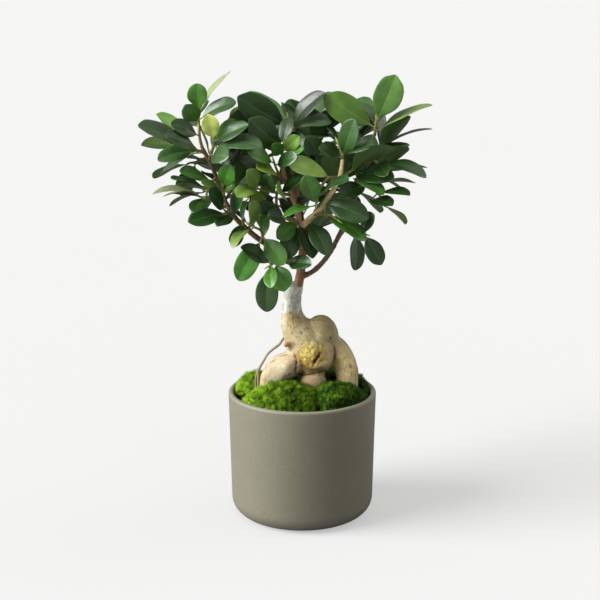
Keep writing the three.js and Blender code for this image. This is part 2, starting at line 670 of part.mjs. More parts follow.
function leafByRule(twig, index, count, length) {
  const share = BARE_SHARE + ((1 - BARE_SHARE) * index) / (count - 1);
  const place = share * (twig.length - 1);
  const knot = Math.min(Math.floor(place), twig.length - 2);
  const start = seen(...twig[knot].slice(0, 3));
  const end = seen(...twig[knot + 1].slice(0, 3));
  const foot = start.clone().lerp(end, place - knot);
  const along = end.clone().sub(start).normalize();
  const side = new THREE.Vector3(0, 0, 1).cross(along).normalize();
  const front = along.clone().cross(side);
  const turn = index * GOLDEN_ANGLE;
  const out = side.multiplyScalar(Math.cos(turn)).addScaledVector(front, Math.sin(turn));
  const spread = THREE.MathUtils.degToRad(SPREAD_AT_FOOT - SPREAD_LOSS * share);
  const axis = along.clone().multiplyScalar(Math.cos(spread)).addScaledVector(out, Math.sin(spread));
  axis.z += LIFT;
  axis.normalize();
  const reach = length * (1 + LENGTH_SPREAD * Math.sin(2.4 * index + count));
  const tip = foot.clone().addScaledVector(axis, reach);
  const neck = foot.clone().lerp(tip, PETIOLE_SHARE);
  const upper = new THREE.Vector3(0, 0, 1).addScaledVector(along, FACING_OUT);
  upper.addScaledVector(axis, -upper.dot(axis)).normalize();
  return { foot, neck, tip, upper, width: LEAF_SLIMNESS * reach * (1 - PETIOLE_SHARE), bow: RULED_BOW };
}

// Outline of the blade: share of its length, share of its half width
const BLADE_STATIONS = [[0.26, 0.78], [0.56, 1], [0.84, 0.72]];

function leafSolid({ foot, neck, tip, upper, width, bow }, growth = 0, withPetiole = true) {
  const blade = tip.clone().sub(neck);
  const length = blade.length();
  const axis = blade.clone().normalize();
  const side = upper.clone().cross(axis);
  function ring(centre, across, normal, halfWidth, fold, thickness) {
    const half = thickness / 2 + growth;
    const reach = halfWidth + growth;
    function point(sideways, rise) {
      return centre.clone().addScaledVector(across, sideways).addScaledVector(normal, rise);
    }
    return [point(reach, fold), point(-reach, fold), point(0, -half)];
  }
  const rings = [];
  if (withPetiole) {
    const stalk = neck.clone().sub(foot).normalize();
    const normal = upper.clone().addScaledVector(stalk, -upper.dot(stalk)).normalize();
    rings.push(ring(foot, normal.clone().cross(stalk), normal, PETIOLE_HALF_WIDTH, 0, PETIOLE_THICKNESS));
  }
  rings.push(ring(neck, side, upper, PETIOLE_HALF_WIDTH, 0, PETIOLE_THICKNESS));
  for (const [along, share] of BLADE_STATIONS) {
    const rise = bow * length * 4 * along * (1 - along);
    const centre = neck.clone().addScaledVector(axis, along * length);
    centre.addScaledVector(upper, rise);
    const halfWidth = (share * width) / 2;
    rings.push(ring(centre, side, upper, halfWidth, LEAF_FOLD * halfWidth, LEAF_THICKNESS));
  }
  return loft(rings, tip.clone().addScaledVector(axis, growth));
}

// Small turns of a leaf about its foot, in degrees: out of the front view and within it
const LEAF_TURNS = [
  [0, 0], [7, 0], [-7, 0], [14, 0], [-14, 0], [0, 5], [0, -5], [9, 6], [9, -6], [-9, 6], [-9, -6],
  [21, 0], [-21, 0], [16, 9], [16, -9], [-16, 9], [-16, -9], [28, 0], [-28, 0],
  [24, 14], [24, -14], [-24, 14], [-24, -14], [36, 0], [-36, 0],
];

function turnedLeaf(leaf, [outDegrees, inDegrees]) {
  const axis = leaf.tip.clone().sub(leaf.foot).normalize();
  const sight = leaf.foot.clone().sub(EYE).normalize();
  const hinge = sight.clone().cross(axis).normalize();
  const turn = new THREE.Quaternion().setFromAxisAngle(hinge, THREE.MathUtils.degToRad(outDegrees));
  turn.premultiply(new THREE.Quaternion().setFromAxisAngle(sight, THREE.MathUtils.degToRad(inDegrees)));
  const move = (point) => point.clone().sub(leaf.foot).applyQuaternion(turn).add(leaf.foot);
  const upper = leaf.upper.clone().applyQuaternion(turn);
  return { ...leaf, neck: move(leaf.neck), tip: move(leaf.tip), upper };
}

// Soil fills the pot, and its roots stand in plain holes
function soilTop(radius) {
  const share = radius / potInnerRadius(SOIL_EDGE_HEIGHT);
  return SOIL_EDGE_HEIGHT + SOIL_MOUND * (1 - share * share);
}

function soilSolid() {
  const bottom = POT_FLOOR + GAP;
  const heelZ = POT_FLOOR + POT_INNER_HEEL;
  const heelX = potInnerRadius(heelZ) - POT_INNER_HEEL;
  const edge = potInnerRadius(SOIL_EDGE_HEIGHT) - GAP;
  const profile = [new THREE.Vector2(0, bottom)];
  profile.push(...roundedCorner(heelX, heelZ, POT_INNER_HEEL - GAP, -90, 0, 2));
  for (const radius of [edge, 34, 0]) {
    profile.push(new THREE.Vector2(radius, soilTop(radius)));
  }
  return turned(profile);
}

// Moss cushions: [name, x, y, reach along x, reach along y, height]
const MOSS_CUSHIONS = [
  ['moss_front_left', -19, -32, 37, 28, 13],
  ['moss_front_right', 35, -29, 27, 26, 13],
  ['moss_left', -45, 18, 17, 26, 12],
  ['moss_right', 50, 16, 12, 22, 11],
  ['moss_back_left', -14, 44, 24, 18, 12],
  ['moss_back_right', 24, 45, 19, 17, 12],
];
const MOSS_RINGS = [0.38, 0.75, 1];
const MOSS_SIDES = 16;
const MOSS_LIFT = 0.5;

function mossCushion([, x, y, reachX, reachY, height], growth = 0) {
  const positions = [];
  const triangles = [];
  function addPoint(share, angle, onTop) {
    const ragged = 1 + 0.06 * Math.sin(4 * angle + x) + 0.04 * Math.cos(7 * angle + y);
    const px = x + (reachX * ragged * share + growth * share) * Math.cos(angle);
    const py = y + (reachY * ragged * share + growth * share) * Math.sin(angle);
    const bumps = 0.9 * Math.sin(0.62 * px + 0.3 * py) + 0.8 * Math.cos(0.55 * py - 0.21 * px);
    const crown = (height + bumps) * (1 - share ** 2.6) + 1.6 + growth;
    const floor = soilTop(Math.hypot(px, py)) + MOSS_LIFT;
    positions.push(px, py, onTop ? floor + crown : floor - growth);
    return positions.length / 3 - 1;
  }
  function addRing(share, onTop) {
    const first = positions.length / 3;
    for (let side = 0; side < MOSS_SIDES; side++) {
      addPoint(share, (side / MOSS_SIDES) * 2 * Math.PI, onTop);
    }
    return first;
  }
  function bridge(inner, outer) {
    for (let side = 0; side < MOSS_SIDES; side++) {
      const next = (side + 1) % MOSS_SIDES;
      triangles.push(inner + side, outer + side, outer + next, inner + side, outer + next, inner + next);
    }
  }
  const top = addPoint(0, 0, true);
  let previous = null;
  for (const share of MOSS_RINGS) {
    const ring = addRing(share, true);
    if (previous === null) {
      for (let side = 0; side < MOSS_SIDES; side++) {
        triangles.push(top, ring + side, ring + ((side + 1) % MOSS_SIDES));
      }
    } else {
      bridge(previous, ring);
    }
    previous = ring;
  }
  const edge = addRing(1, false);
  const inner = addRing(0.5, false);
  bridge(previous, edge);
  bridge(edge, inner);
  const bottom = addPoint(0, 0, false);
  for (let side = 0; side < MOSS_SIDES; side++) {
    triangles.push(bottom, inner + ((side + 1) % MOSS_SIDES), inner + side);
  }
  return solidFrom(positions, triangles);
}

function potRoom() {
  const low = SOIL_EDGE_HEIGHT - 3;
  const high = POT_HEIGHT + 30;
  return turned([
    new THREE.Vector2(0, low),
    new THREE.Vector2(potInnerRadius(low) - GAP, low),
    new THREE.Vector2(potInnerRadius(POT_HEIGHT) - GAP, POT_HEIGHT),
    new THREE.Vector2(potInnerRadius(POT_HEIGHT) - GAP, high),
    new THREE.Vector2(0, high),
  ]);
}

// Assembly
const bonsai = new THREE.Group();
bonsai.name = 'ficus_ginseng_bonsai';

function place(name, solid, finish) {
  bonsai.add(meshOf(name, solid, finish));
}

const grownRoots = rootSolid(GAP);
const grownBranches = branchSolid(GAP);
const slit = limb(FACE_SLIT, { sides: 6 });
const branches = branchSolid(0);

place('pot', potSolid(), { color: 0x6e6a5a, roughness: 0.75 });
place('potting_soil', soilSolid().subtract(grownRoots), { color: 0x2b2119, roughness: 1 });
const rootstock = rootSolid(0).subtract(slit).subtract(grownBranches);
place('rootstock', largestPiece(rootstock), { color: 0xb3a182, roughness: 0.8 });
place('branches', branches, { color: 0x7a5c48, roughness: 0.8 });

const room = potRoom();
const grownMoss = [];
for (const cushion of MOSS_CUSHIONS) {
  let solid = mossCushion(cushion).intersect(room).subtract(grownRoots);
  for (const neighbour of grownMoss) {
    solid = solid.subtract(neighbour);
  }
  grownMoss.push(mossCushion(cushion, GAP));
  place(cushion[0], largestPiece(solid), { color: 0x4c7a1e, roughness: 1 });
}

// Every twig is placed first. Then each leaf takes the first turn that keeps it clear of all else.
function overlaps(solid, others) {
  const box = solid.boundingBox();
  return others.some(({ solid: other, box: otherBox }) => {
    for (let i = 0; i < 3; i++) {
      if (box.min[i] > otherBox.max[i] || box.max[i] < otherBox.min[i]) {
        return false;
      }
    }
    return !solid.intersect(other).isEmpty();
  });
}

function boxed(solid) {
  return { solid, box: solid.boundingBox() };
}

const ruled = RULED_SHOOTS.map(({ name, twig, count, length }) => ({
  name,
  color: 0x43703a,
  twig,
  leaves: Array.from({ length: count }, (unused, index) => leafByRule(twig, index, count, length)),
}));
const drawn = SHOOTS.map(({ name, color, twig, leaves }) => ({
  name,
  color,
  twig,
  leaves: leaves.map((row) => leafAsSeen(twig, row)),
}));
const shoots = [...drawn, ...ruled];
const boughs = [STEM, ...BRANCHES].map((route) => boxed(limb(route, { sides: 6, steps: 1 })));
const fixed = [...boughs, boxed(rootSolid(0))];
for (const shoot of shoots) {
  shoot.twigSolid = limb(shoot.twig, { sides: 4, steps: 1 });
  fixed.push(boxed(shoot.twigSolid));
}
const blades = [];
for (const shoot of shoots) {
  shoot.solids = [shoot.twigSolid];
  for (const leaf of shoot.leaves) {
    for (const turn of LEAF_TURNS) {
      const turnedOne = turnedLeaf(leaf, turn);
      const guard = leafSolid(turnedOne, LEAF_CLEARANCE, false);
      const whole = leafSolid(turnedOne);
      const others = blades.filter((blade) => blade.shoot !== shoot);
      if (!overlaps(guard, fixed) && !overlaps(guard, blades) && !overlaps(whole, others)) {
        blades.push({ ...boxed(leafSolid(turnedOne, 0, false)), shoot });
        shoot.solids.push(whole);
        break;
      }
    }
  }
}
for (const { name, color, solids } of shoots) {
  place(name, largestPiece(joined(solids).subtract(grownBranches)), { color, roughness: 0.4 });
}

export default bonsai;
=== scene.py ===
# %% [markdown]
# # A grafted fig bonsai in a plain round pot
# The plant is a ginseng fig: swollen roots stand like legs in a pot, a leafy top is grafted
# on their neck, and moss covers the soil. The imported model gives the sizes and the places.
# This lesson loads it as a fixed frame and then dresses each node with a finer piece.

import json
import math

import bpy
import numpy as np
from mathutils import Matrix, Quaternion, Vector
from mathutils.bvhtree import BVHTree

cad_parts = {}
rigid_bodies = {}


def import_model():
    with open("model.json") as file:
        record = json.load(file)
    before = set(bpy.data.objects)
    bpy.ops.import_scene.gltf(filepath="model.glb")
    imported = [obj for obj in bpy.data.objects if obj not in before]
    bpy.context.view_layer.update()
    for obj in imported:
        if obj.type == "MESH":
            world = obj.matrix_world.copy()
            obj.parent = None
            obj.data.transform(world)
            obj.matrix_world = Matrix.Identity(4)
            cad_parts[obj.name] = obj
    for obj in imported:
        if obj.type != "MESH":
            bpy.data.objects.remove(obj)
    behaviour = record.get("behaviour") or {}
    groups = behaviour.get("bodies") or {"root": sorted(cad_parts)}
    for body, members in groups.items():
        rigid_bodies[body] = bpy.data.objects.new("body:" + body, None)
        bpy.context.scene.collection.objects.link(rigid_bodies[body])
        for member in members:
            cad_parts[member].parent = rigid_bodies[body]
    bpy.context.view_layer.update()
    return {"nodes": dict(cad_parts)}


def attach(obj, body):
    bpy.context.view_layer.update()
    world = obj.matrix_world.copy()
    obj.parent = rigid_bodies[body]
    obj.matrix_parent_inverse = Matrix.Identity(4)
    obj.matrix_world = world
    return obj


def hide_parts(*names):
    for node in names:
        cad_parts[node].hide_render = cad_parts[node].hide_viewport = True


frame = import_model()

# %% [markdown]
# ## The front view
# The growth of a real plant follows no drawing, so it was laid out as it looks from the front.
# A point is given by the place (x, z) where it shows on the upright plane through the pot's
# axis, and by its depth y, all in millimetres. The model's source uses the same rule, so the
# same rows of numbers give the same limbs here. Blender itself works in metres.

# %% From the front view to a place in metres
MM = 0.001
EYE = np.array([-2.0, -1164.2, 484.4]) * MM


def seen(x, z, y):
    """The point in metres that shows at (x, z) of the front view, at the depth y."""
    flat = np.array([x, 0.0, z]) * MM
    reach = (y * MM - EYE[1]) / -EYE[1]
    return EYE + (flat - EYE) * reach


def front_view(points):
    """The places (x, z) of the front view, in millimetres, where points show."""
    reach = (points[:, 1] - EYE[1]) / -EYE[1]
    flat = EYE + (points - EYE) / reach[:, None]
    return flat[:, 0] / MM, flat[:, 2] / MM


print("a point 20 mm in front of the pot's axis:", seen(0, 200, -20).round(4))

# %% [markdown]
# ## Camera
# The pot's rim shows as a flat ellipse, so the camera looks down at it by about 14 degrees.
# The rim, the pot's height and its base edge fix the camera's place: 1.2 m away, with a lens
# of 83 mm. A long lens keeps the pot's sides nearly upright, as in a catalogue picture.

# %% The camera
AIM = Vector((-0.00197, 0, 0.19329))
LENS_MILLIMETRES = 82.94
lens = bpy.data.cameras.new("camera")
lens.lens = LENS_MILLIMETRES
camera = bpy.data.objects.new("camera", lens)
camera.location = EYE
camera.rotation_euler = (AIM - camera.location).to_track_quat("-Z", "Y").to_euler()
bpy.context.scene.collection.objects.link(camera)
bpy.context.scene.camera = camera
print("camera distance:", round((AIM - camera.location).length, 3), "m")

# %% [markdown]
# ## Shader helpers
# A material in Blender is a graph of nodes. Building it in code needs a few small helpers: one
# turns colours from 0 to 255 into the linear light that shaders work with, one adds a node and
# fills or links its inputs, and the others are the few sums that nearly every finish needs.

# %% Nodes and colours
def linear(red, green, blue):
    """A screen colour as linear light, with alpha."""
    shares = [value / 255 for value in (red, green, blue)]
    return tuple(s / 12.92 if s <= 0.04045 else ((s + 0.055) / 1.055) ** 2.4 for s in shares) + (1.0,)


def feed(tree, node, inputs):
    """Fills the inputs of a node: a socket is linked, and any other value is set."""
    for name, value in inputs.items():
        if isinstance(value, bpy.types.NodeSocket):
            tree.links.new(value, node.inputs[name])
        else:
            node.inputs[name].default_value = value


def add(tree, kind, inputs=None, **settings):
    """Adds a shader node with its settings and inputs."""
    node = tree.nodes.new(kind)
    for name, value in settings.items():
        setattr(node, name, value)
    feed(tree, node, inputs or {})
    return node


def math_node(tree, operation, first, second=0.0):
    return add(tree, "ShaderNodeMath", {0: first, 1: second}, operation=operation).outputs[0]


def times(tree, first, second):
    """Two values multiplied."""
    return math_node(tree, "MULTIPLY", first, second)


def mixed(tree, share, first, second, mode="MIX"):
    """Two colours mixed by a share from 0 to 1."""
    node = add(tree, "ShaderNodeMix", {0: share, 6: first, 7: second}, data_type="RGBA")
    node.blend_type = mode
    return node.outputs[2]


def ranged(tree, value, low, high, to_low=0.0, to_high=1.0):
    """A value stretched from one range to another, and kept inside it."""
    inputs = {"Value": value, "From Min": low, "From Max": high, "To Min": to_low, "To Max": to_high}
    return add(tree, "ShaderNodeMapRange", inputs, clamp=True).outputs[0]


def stained(tree, color, mask, share, stain):
    """A colour with a stain laid over it where the mask is, at a share of its full strength."""
    return mixed(tree, times(tree, mask, share), color, stain)


def tinted(tree, color, tint, share=1.0):
    """A colour times a tint, at a share of its full strength."""
    return mixed(tree, share, color, tint, "MULTIPLY")


def attribute(tree, name, output="Fac"):
    """A mark that is kept on the mesh: Fac is one number, Color and Vector are three."""
    return add(tree, "ShaderNodeAttribute", attribute_name=name).outputs[output]


print("pot's lit side as linear light:", [round(v, 3) for v in linear(160, 158, 141)])

# %% [markdown]
# ## Effects that several finishes share
# Clay, bark, soil, moss and leaves all vary in colour, and clay and bark have pits and grain.
# Each such effect is a node group with named sockets. It is built once, and each material
# places it with its own values. Groups put out only colours, masks and heights.

# %% A helper for groups
SOCKETS = {"value": "NodeSocketFloat", "color": "NodeSocketColor", "vector": "NodeSocketVector"}


def new_group(name, inputs, outputs):
    """A node group with named sockets, and its inner start and end nodes."""
    tree = bpy.data.node_groups.new(name, "ShaderNodeTree")
    for label, kind in inputs.items():
        tree.interface.new_socket(label, in_out="INPUT", socket_type=SOCKETS[kind])
    for label, kind in outputs.items():
        tree.interface.new_socket(label, in_out="OUTPUT", socket_type=SOCKETS[kind])
    return tree, tree.nodes.new("NodeGroupInput"), tree.nodes.new("NodeGroupOutput")


def use(tree, group, **inputs):
    """Places a group in a material."""
    node = tree.nodes.new("ShaderNodeGroup")
    node.node_tree = group
    feed(tree, node, {name.capitalize(): value for name, value in inputs.items()})
    return node.outputs


print("kinds of socket:", list(SOCKETS))

# %% [markdown]
# Mottle: soft clouds between a dark and a light tone. A noise texture could feed a material
# directly, but the group keeps its contrast in one place.

# %% Mottle
mottle, start, end = new_group(
    "mottle",
    {"Place": "vector", "Scale": "value", "Contrast": "value", "Dark": "color", "Light": "color"},
    {"Color": "color", "Mask": "value"},
)
clouds = add(
    mottle, "ShaderNodeTexNoise",
    {"Vector": start.outputs["Place"], "Scale": start.outputs["Scale"], "Detail": 4.0, "Roughness": 0.6},
)
half_span = math_node(mottle, "DIVIDE", 0.5, start.outputs["Contrast"])
mottle_low = math_node(mottle, "SUBTRACT", 0.5, half_span)
mottle_high = math_node(mottle, "ADD", 0.5, half_span)
cloud_mask = ranged(mottle, clouds.outputs["Fac"], mottle_low, mottle_high)
cloud_color = mixed(mottle, cloud_mask, start.outputs["Dark"], start.outputs["Light"])
feed(mottle, end, {"Color": cloud_color, "Mask": cloud_mask})
print("group:", mottle.name, [item.name for item in mottle.interface.items_tree])

# %% [markdown]
# Pits: small round spots at some of the cells of a Voronoi texture. On bark they are pores, on
# the pot the tiny specks of its clay, and in the soil its fibres.

# %% Pits
pits, start, end = new_group(
    "pits",
    {"Place": "vector", "Scale": "value", "Size": "value", "Share": "value"},
    {"Mask": "value"},
)
cell_inputs = {"Vector": start.outputs["Place"], "Scale": start.outputs["Scale"]}
cells = add(pits, "ShaderNodeTexVoronoi", cell_inputs)
near = ranged(pits, cells.outputs["Distance"], 0.0, start.outputs["Size"], 1.0, 0.0)
pick = add(pits, "ShaderNodeSeparateColor", {"Color": cells.outputs["Color"]}).outputs[0]
picked = math_node(pits, "LESS_THAN", pick, start.outputs["Share"])
spread = math_node(pits, "POWER", near, 0.6)
feed(pits, end, {"Mask": times(pits, spread, picked)})
print("group:", pits.name)

# %% [markdown]
# Grain: the fine height that makes a surface matt. It feeds a Bump node in each material.

# %% Grain
grain, start, end = new_group(
    "grain", {"Place": "vector", "Scale": "value", "Sharpness": "value"}, {"Height": "value"}
)
fine = add(
    grain, "ShaderNodeTexNoise",
    {"Vector": start.outputs["Place"], "Scale": start.outputs["Scale"], "Detail": 3.0,
     "Roughness": start.outputs["Sharpness"]},
)
feed(grain, end, {"Height": fine.outputs["Fac"]})
print("group:", grain.name)

# %% [markdown]
# Crevices: dirt and shade gather in the folds of bark. The folds are measured on the mesh and
# kept as an attribute, which this group reads.

# %% Crevices
crevices, start, end = new_group(
    "crevices", {"Color": "color", "Crevice": "color", "Amount": "value"}, {"Color": "color"}
)
depth = times(crevices, attribute(crevices, "fold"), start.outputs["Amount"])
depth = ranged(crevices, depth, 0.0, 1.0)
darkened = mixed(crevices, depth, start.outputs["Color"], start.outputs["Crevice"])
feed(crevices, end, {"Color": darkened})
print("group:", crevices.name)


# %% [markdown]
# A material starts as a Principled shader. Values that are the same all over the surface are
# set on its own sockets, because a viewer reads them from there.

# %% A new material
def new_material(name, **constants):
    """A material with its node tree and its Principled shader."""
    material = bpy.data.materials.new(name)
    material.use_nodes = True
    tree = material.node_tree
    shader = tree.nodes["Principled BSDF"]
    for socket, value in constants.items():
        shader.inputs[socket.replace("_", " ")].default_value = value
    return material, tree, shader


def bump(tree, height, strength, distance):
    """A normal that leans as if the surface had this height, up to a distance in metres."""
    inputs = {"Height": height, "Strength": strength, "Distance": distance}
    return add(tree, "ShaderNodeBump", inputs).outputs["Normal"]


def object_place(tree):
    """The place on the plant in metres, which keeps a texture fixed to it in any view."""
    return add(tree, "ShaderNodeTexCoord").outputs["Object"]


sample, sample_tree, _ = new_material("sample")
print("a new material's nodes:", [node.name for node in sample_tree.nodes])
bpy.data.materials.remove(sample)

# %% [markdown]
# ## Studio
# The pot stands on a pale floor that runs on past the picture's edge, so no horizon shows. White
# paint alone would leave it grey in this soft light, so it also glows a little for the camera,
# which keeps it as pale as paper while it still takes a shadow.

# %% Floor
FLOOR_REACH = 40.0
FLOOR_GLOW = 0.452
floor_mesh = bpy.data.meshes.new("studio_floor")
floor_mesh.from_pydata(
    [(-FLOOR_REACH, -FLOOR_REACH, 0), (FLOOR_REACH, -FLOOR_REACH, 0),
     (FLOOR_REACH, FLOOR_REACH, 0), (-FLOOR_REACH, FLOOR_REACH, 0)], [], [(0, 1, 2, 3)]
)
floor = bpy.data.objects.new("studio_floor", floor_mesh)
bpy.context.scene.collection.objects.link(floor)
floor_finish, tree, shader = new_material("floor_paper", Roughness=0.9, Specular_IOR_Level=0.1)
paper = use(tree, mottle, place=object_place(tree), scale=0.8, contrast=1.0,
            dark=linear(136, 136, 136), light=linear(140, 140, 140))
feed(tree, shader, {"Base Color": paper["Color"]})
glow = add(tree, "ShaderNodeEmission", {"Color": linear(254, 254, 255), "Strength": FLOOR_GLOW})
shown = add(tree, "ShaderNodeAddShader", {0: shader.outputs[0], 1: glow.outputs[0]})
from_camera = add(tree, "ShaderNodeLightPath").outputs["Is Camera Ray"]
lit = add(tree, "ShaderNodeMixShader", {0: from_camera, 1: shader.outputs[0], 2: shown.outputs[0]})
feed(tree, tree.nodes["Material Output"], {"Surface": lit.outputs[0]})
floor_mesh.materials.append(floor_finish)
print("floor:", 2 * FLOOR_REACH, "m wide")

# %% [markdown]
# The light is one broad, soft lamp from the left, and a weak world fills the shadows. Two weak
# lamps stand for the wall behind on the right, which lifts the pot's dark edge, and the ceiling.
# Wide sun lamps light near and far floor alike, which area lamps wouldn't. Past the floor the
# camera sees a wall of its tone.

# %% Lamps and world
FILL_STRENGTH = 0.39
LAMPS = {
    # strength, the lamp's width in degrees, colour, the direction it shines from
    "key_light": (7.4, 44, (1.0, 0.99, 0.99), (-0.965, -0.26, 0.53)),
    "wall_bounce": (1.25, 60, (1.0, 0.99, 0.97), (0.94, 0.34, 0.16)),
    "ceiling_bounce": (0.75, 80, (1.0, 1.0, 0.98), (0.1, -0.05, 1.0)),
}
for name, (strength, width, color, comes_from) in LAMPS.items():
    lamp = bpy.data.objects.new(name, bpy.data.lights.new(name, "SUN"))
    lamp.data.energy = strength
    lamp.data.angle = math.radians(width)
    lamp.data.color = color
    lamp.rotation_euler = Vector(comes_from).to_track_quat("Z", "Y").to_euler()
    bpy.context.scene.collection.objects.link(lamp)

world = bpy.data.worlds.new("studio")
bpy.context.scene.world = world
world.use_nodes = True
tree = world.node_tree
fill = add(tree, "ShaderNodeBackground", {"Color": (1.0, 0.99, 0.92, 1), "Strength": FILL_STRENGTH})
wall = add(tree, "ShaderNodeBackground", {"Color": linear(246, 246, 245), "Strength": 1.0})
from_camera = add(tree, "ShaderNodeLightPath").outputs["Is Camera Ray"]
seen_wall = add(tree, "ShaderNodeMixShader", {0: from_camera, 1: fill.outputs[0], 2: wall.outputs[0]})
feed(tree, tree.nodes["World Output"], {"Surface": seen_wall.outputs[0]})
bpy.context.scene.view_settings.view_transform = "Standard"
print("lamps:", list(LAMPS))

# %% [markdown]
# ## Mesh helpers
# Every piece is built from arrays of points and faces. The helpers below join such arrays,
# turn them into an object with smooth shading, and hand the object to the frame.

# %% Points and faces to a piece
def joined(skins):
    """Several (points, faces) pairs as one pair."""
    points, faces, count = [], [], 0
    for part_points, part_faces in skins:
        points.append(part_points)
        faces.extend(tuple(index + count for index in face) for face in part_faces)
        count += len(part_points)
    return np.vstack(points), faces


def new_piece(name, points, faces):
    """An object with smooth shading from points and faces."""
    mesh = bpy.data.meshes.new(name)
    mesh.from_pydata(np.asarray(points).tolist(), [], faces)
    mesh.polygons.foreach_set("use_smooth", np.ones(len(mesh.polygons), bool))
    mesh.update()
    piece = bpy.data.objects.new(name, mesh)
    bpy.context.scene.collection.objects.link(piece)
    return piece


KINDS_OF_MARK = {1: ("FLOAT", "value"), 3: ("FLOAT_VECTOR", "vector"), 4: ("FLOAT_COLOR", "color")}


def paint(piece, name, values):
    """Keeps a mark for each point of the mesh: one number, a vector of three or a colour of four."""
    values = np.asarray(values, np.float32)
    kind, field = KINDS_OF_MARK[1 if values.ndim == 1 else values.shape[1]]
    piece.data.attributes.new(name, kind, "POINT").data.foreach_set(field, values.ravel())


def dress(piece, node, slot, *finishes):
    """Gives a piece its finishes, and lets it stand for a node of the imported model."""
    for finish in finishes:
        piece.data.materials.append(finish)
    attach(piece, "root")
    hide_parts(node)
    triangles = sum(len(polygon.vertices) - 2 for polygon in piece.data.polygons)
    print(f"{piece.name}: {triangles} triangles, for {node}")


print("marks for each point:", [kind for kind, _ in KINDS_OF_MARK.values()])

# %% [markdown]
# Nature is uneven, so most shapes are pushed in and out a little by noise. A texture could do
# it in a Displace modifier, but a small lattice noise in numpy can be mixed and masked freely,
# and it gives the same result in each run.

# %% Lattice noise
def lattice_value(cell, seed):
    """A steady random number from -1 to 1 for each whole-number cell."""
    mix = cell.astype(np.int64) * np.array([374761393, 668265263, 2147483647])
    code = (mix.sum(axis=-1) + seed * 974711) & 0xFFFFFFFF
    code = ((code ^ (code >> 13)) * 1274126177) & 0xFFFFFFFF
    code = ((code ^ (code >> 16)) * 2246822519) & 0xFFFFFFFF
    return ((code ^ (code >> 15)) & 0xFFFF) / 32767.5 - 1


def noise(points, size, seed=0):
    """Smooth noise from -1 to 1 with features of a size in metres, or a size for each axis."""
    place = np.asarray(points) / size
    cell = np.floor(place)
    share = place - cell
    share = share * share * (3 - 2 * share)
    total = np.zeros(len(place))
    for corner in np.ndindex(2, 2, 2):
        weight = np.prod(np.where(corner, share, 1 - share), axis=1)
        total += weight * lattice_value(cell + corner, seed)
    return total


def soft_step(value, low, high):
    """0 below low, 1 above high, and a smooth rise between."""
    share = np.clip((value - low) / (high - low), 0, 1)
    return share * share * (3 - 2 * share)


sample = noise(np.random.default_rng(1).uniform(0, 1, (2000, 3)), 0.1)
print("noise runs from", sample.min().round(2), "to", sample.max().round(2))

# %% [markdown]
# ## Pot
# A plain pot is turned on a wheel, so its mesh is a profile turned about the upright axis. The
# wall leans out by 2.5 mm to the rim, the heel has a wide round, and the lip is a small round
# bead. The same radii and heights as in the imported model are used, with many more steps.

# %% The pot's profile
POT_HEIGHT = 112
POT_RIM_RADIUS = 65
POT_BASE_RADIUS = 62.5
POT_WALL = 4.8
POT_FLOOR = 6
POT_HEEL_ROUND = 15
POT_INNER_HEEL = 10
POT_RIM_ROUND = 2.2


def pot_radius(height):
    return POT_BASE_RADIUS + (POT_RIM_RADIUS - POT_BASE_RADIUS) * height / POT_HEIGHT


def round_corner(centre_x, centre_z, radius, first, last, steps):
    """Points of an arc between two angles in degrees."""
    angles = np.radians(np.linspace(first, last, steps + 1))
    return [(centre_x + radius * math.cos(a), centre_z + radius * math.sin(a)) for a in angles]


def turned(profile, sides):
    """Turns a profile of (radius, height) in millimetres about the upright axis."""
    angles = np.arange(sides) * 2 * np.pi / sides
    points, rings = [], []
    for radius, height in profile:
        if radius < 1e-6:
            rings.append([len(points)] * sides)
            points.append((0, 0, height))
        else:
            rings.append(range(len(points), len(points) + sides))
            points.extend((radius * math.cos(a), radius * math.sin(a), height) for a in angles)
    faces = []
    for lower, upper in zip(rings, rings[1:]):
        for i in range(sides):
            j = (i + 1) % sides
            corners = dict.fromkeys((lower[i], lower[j], upper[j], upper[i]))
            faces.append(tuple(corners))
    return np.array(points) * MM, faces


heel_x = pot_radius(POT_HEEL_ROUND) - POT_HEEL_ROUND
inner_heel_z = POT_FLOOR + POT_INNER_HEEL
inner_heel_x = pot_radius(inner_heel_z) - POT_WALL - POT_INNER_HEEL
rim_z = POT_HEIGHT - POT_RIM_ROUND
outer_wall = [(pot_radius(z), z) for z in np.linspace(POT_HEEL_ROUND, rim_z, 9)[1:-1]]
pot_profile = [
    (0, 0), (20, 0), (40, 0),
    *round_corner(heel_x, POT_HEEL_ROUND, POT_HEEL_ROUND, -90, 0, 14),
    *outer_wall,
    *round_corner(POT_RIM_RADIUS - POT_RIM_ROUND, rim_z, POT_RIM_ROUND, 0, 90, 8),
    *round_corner(POT_RIM_RADIUS - POT_WALL + POT_RIM_ROUND, rim_z, POT_RIM_ROUND, 90, 180, 8),
    *round_corner(inner_heel_x, inner_heel_z, POT_INNER_HEEL, 0, -90, 8),
    (30, POT_FLOOR), (0, POT_FLOOR),
]
pot = new_piece("turned_pot", *turned(pot_profile, 144))
print("pot:", len(pot_profile), "profile points, height", POT_HEIGHT, "mm")
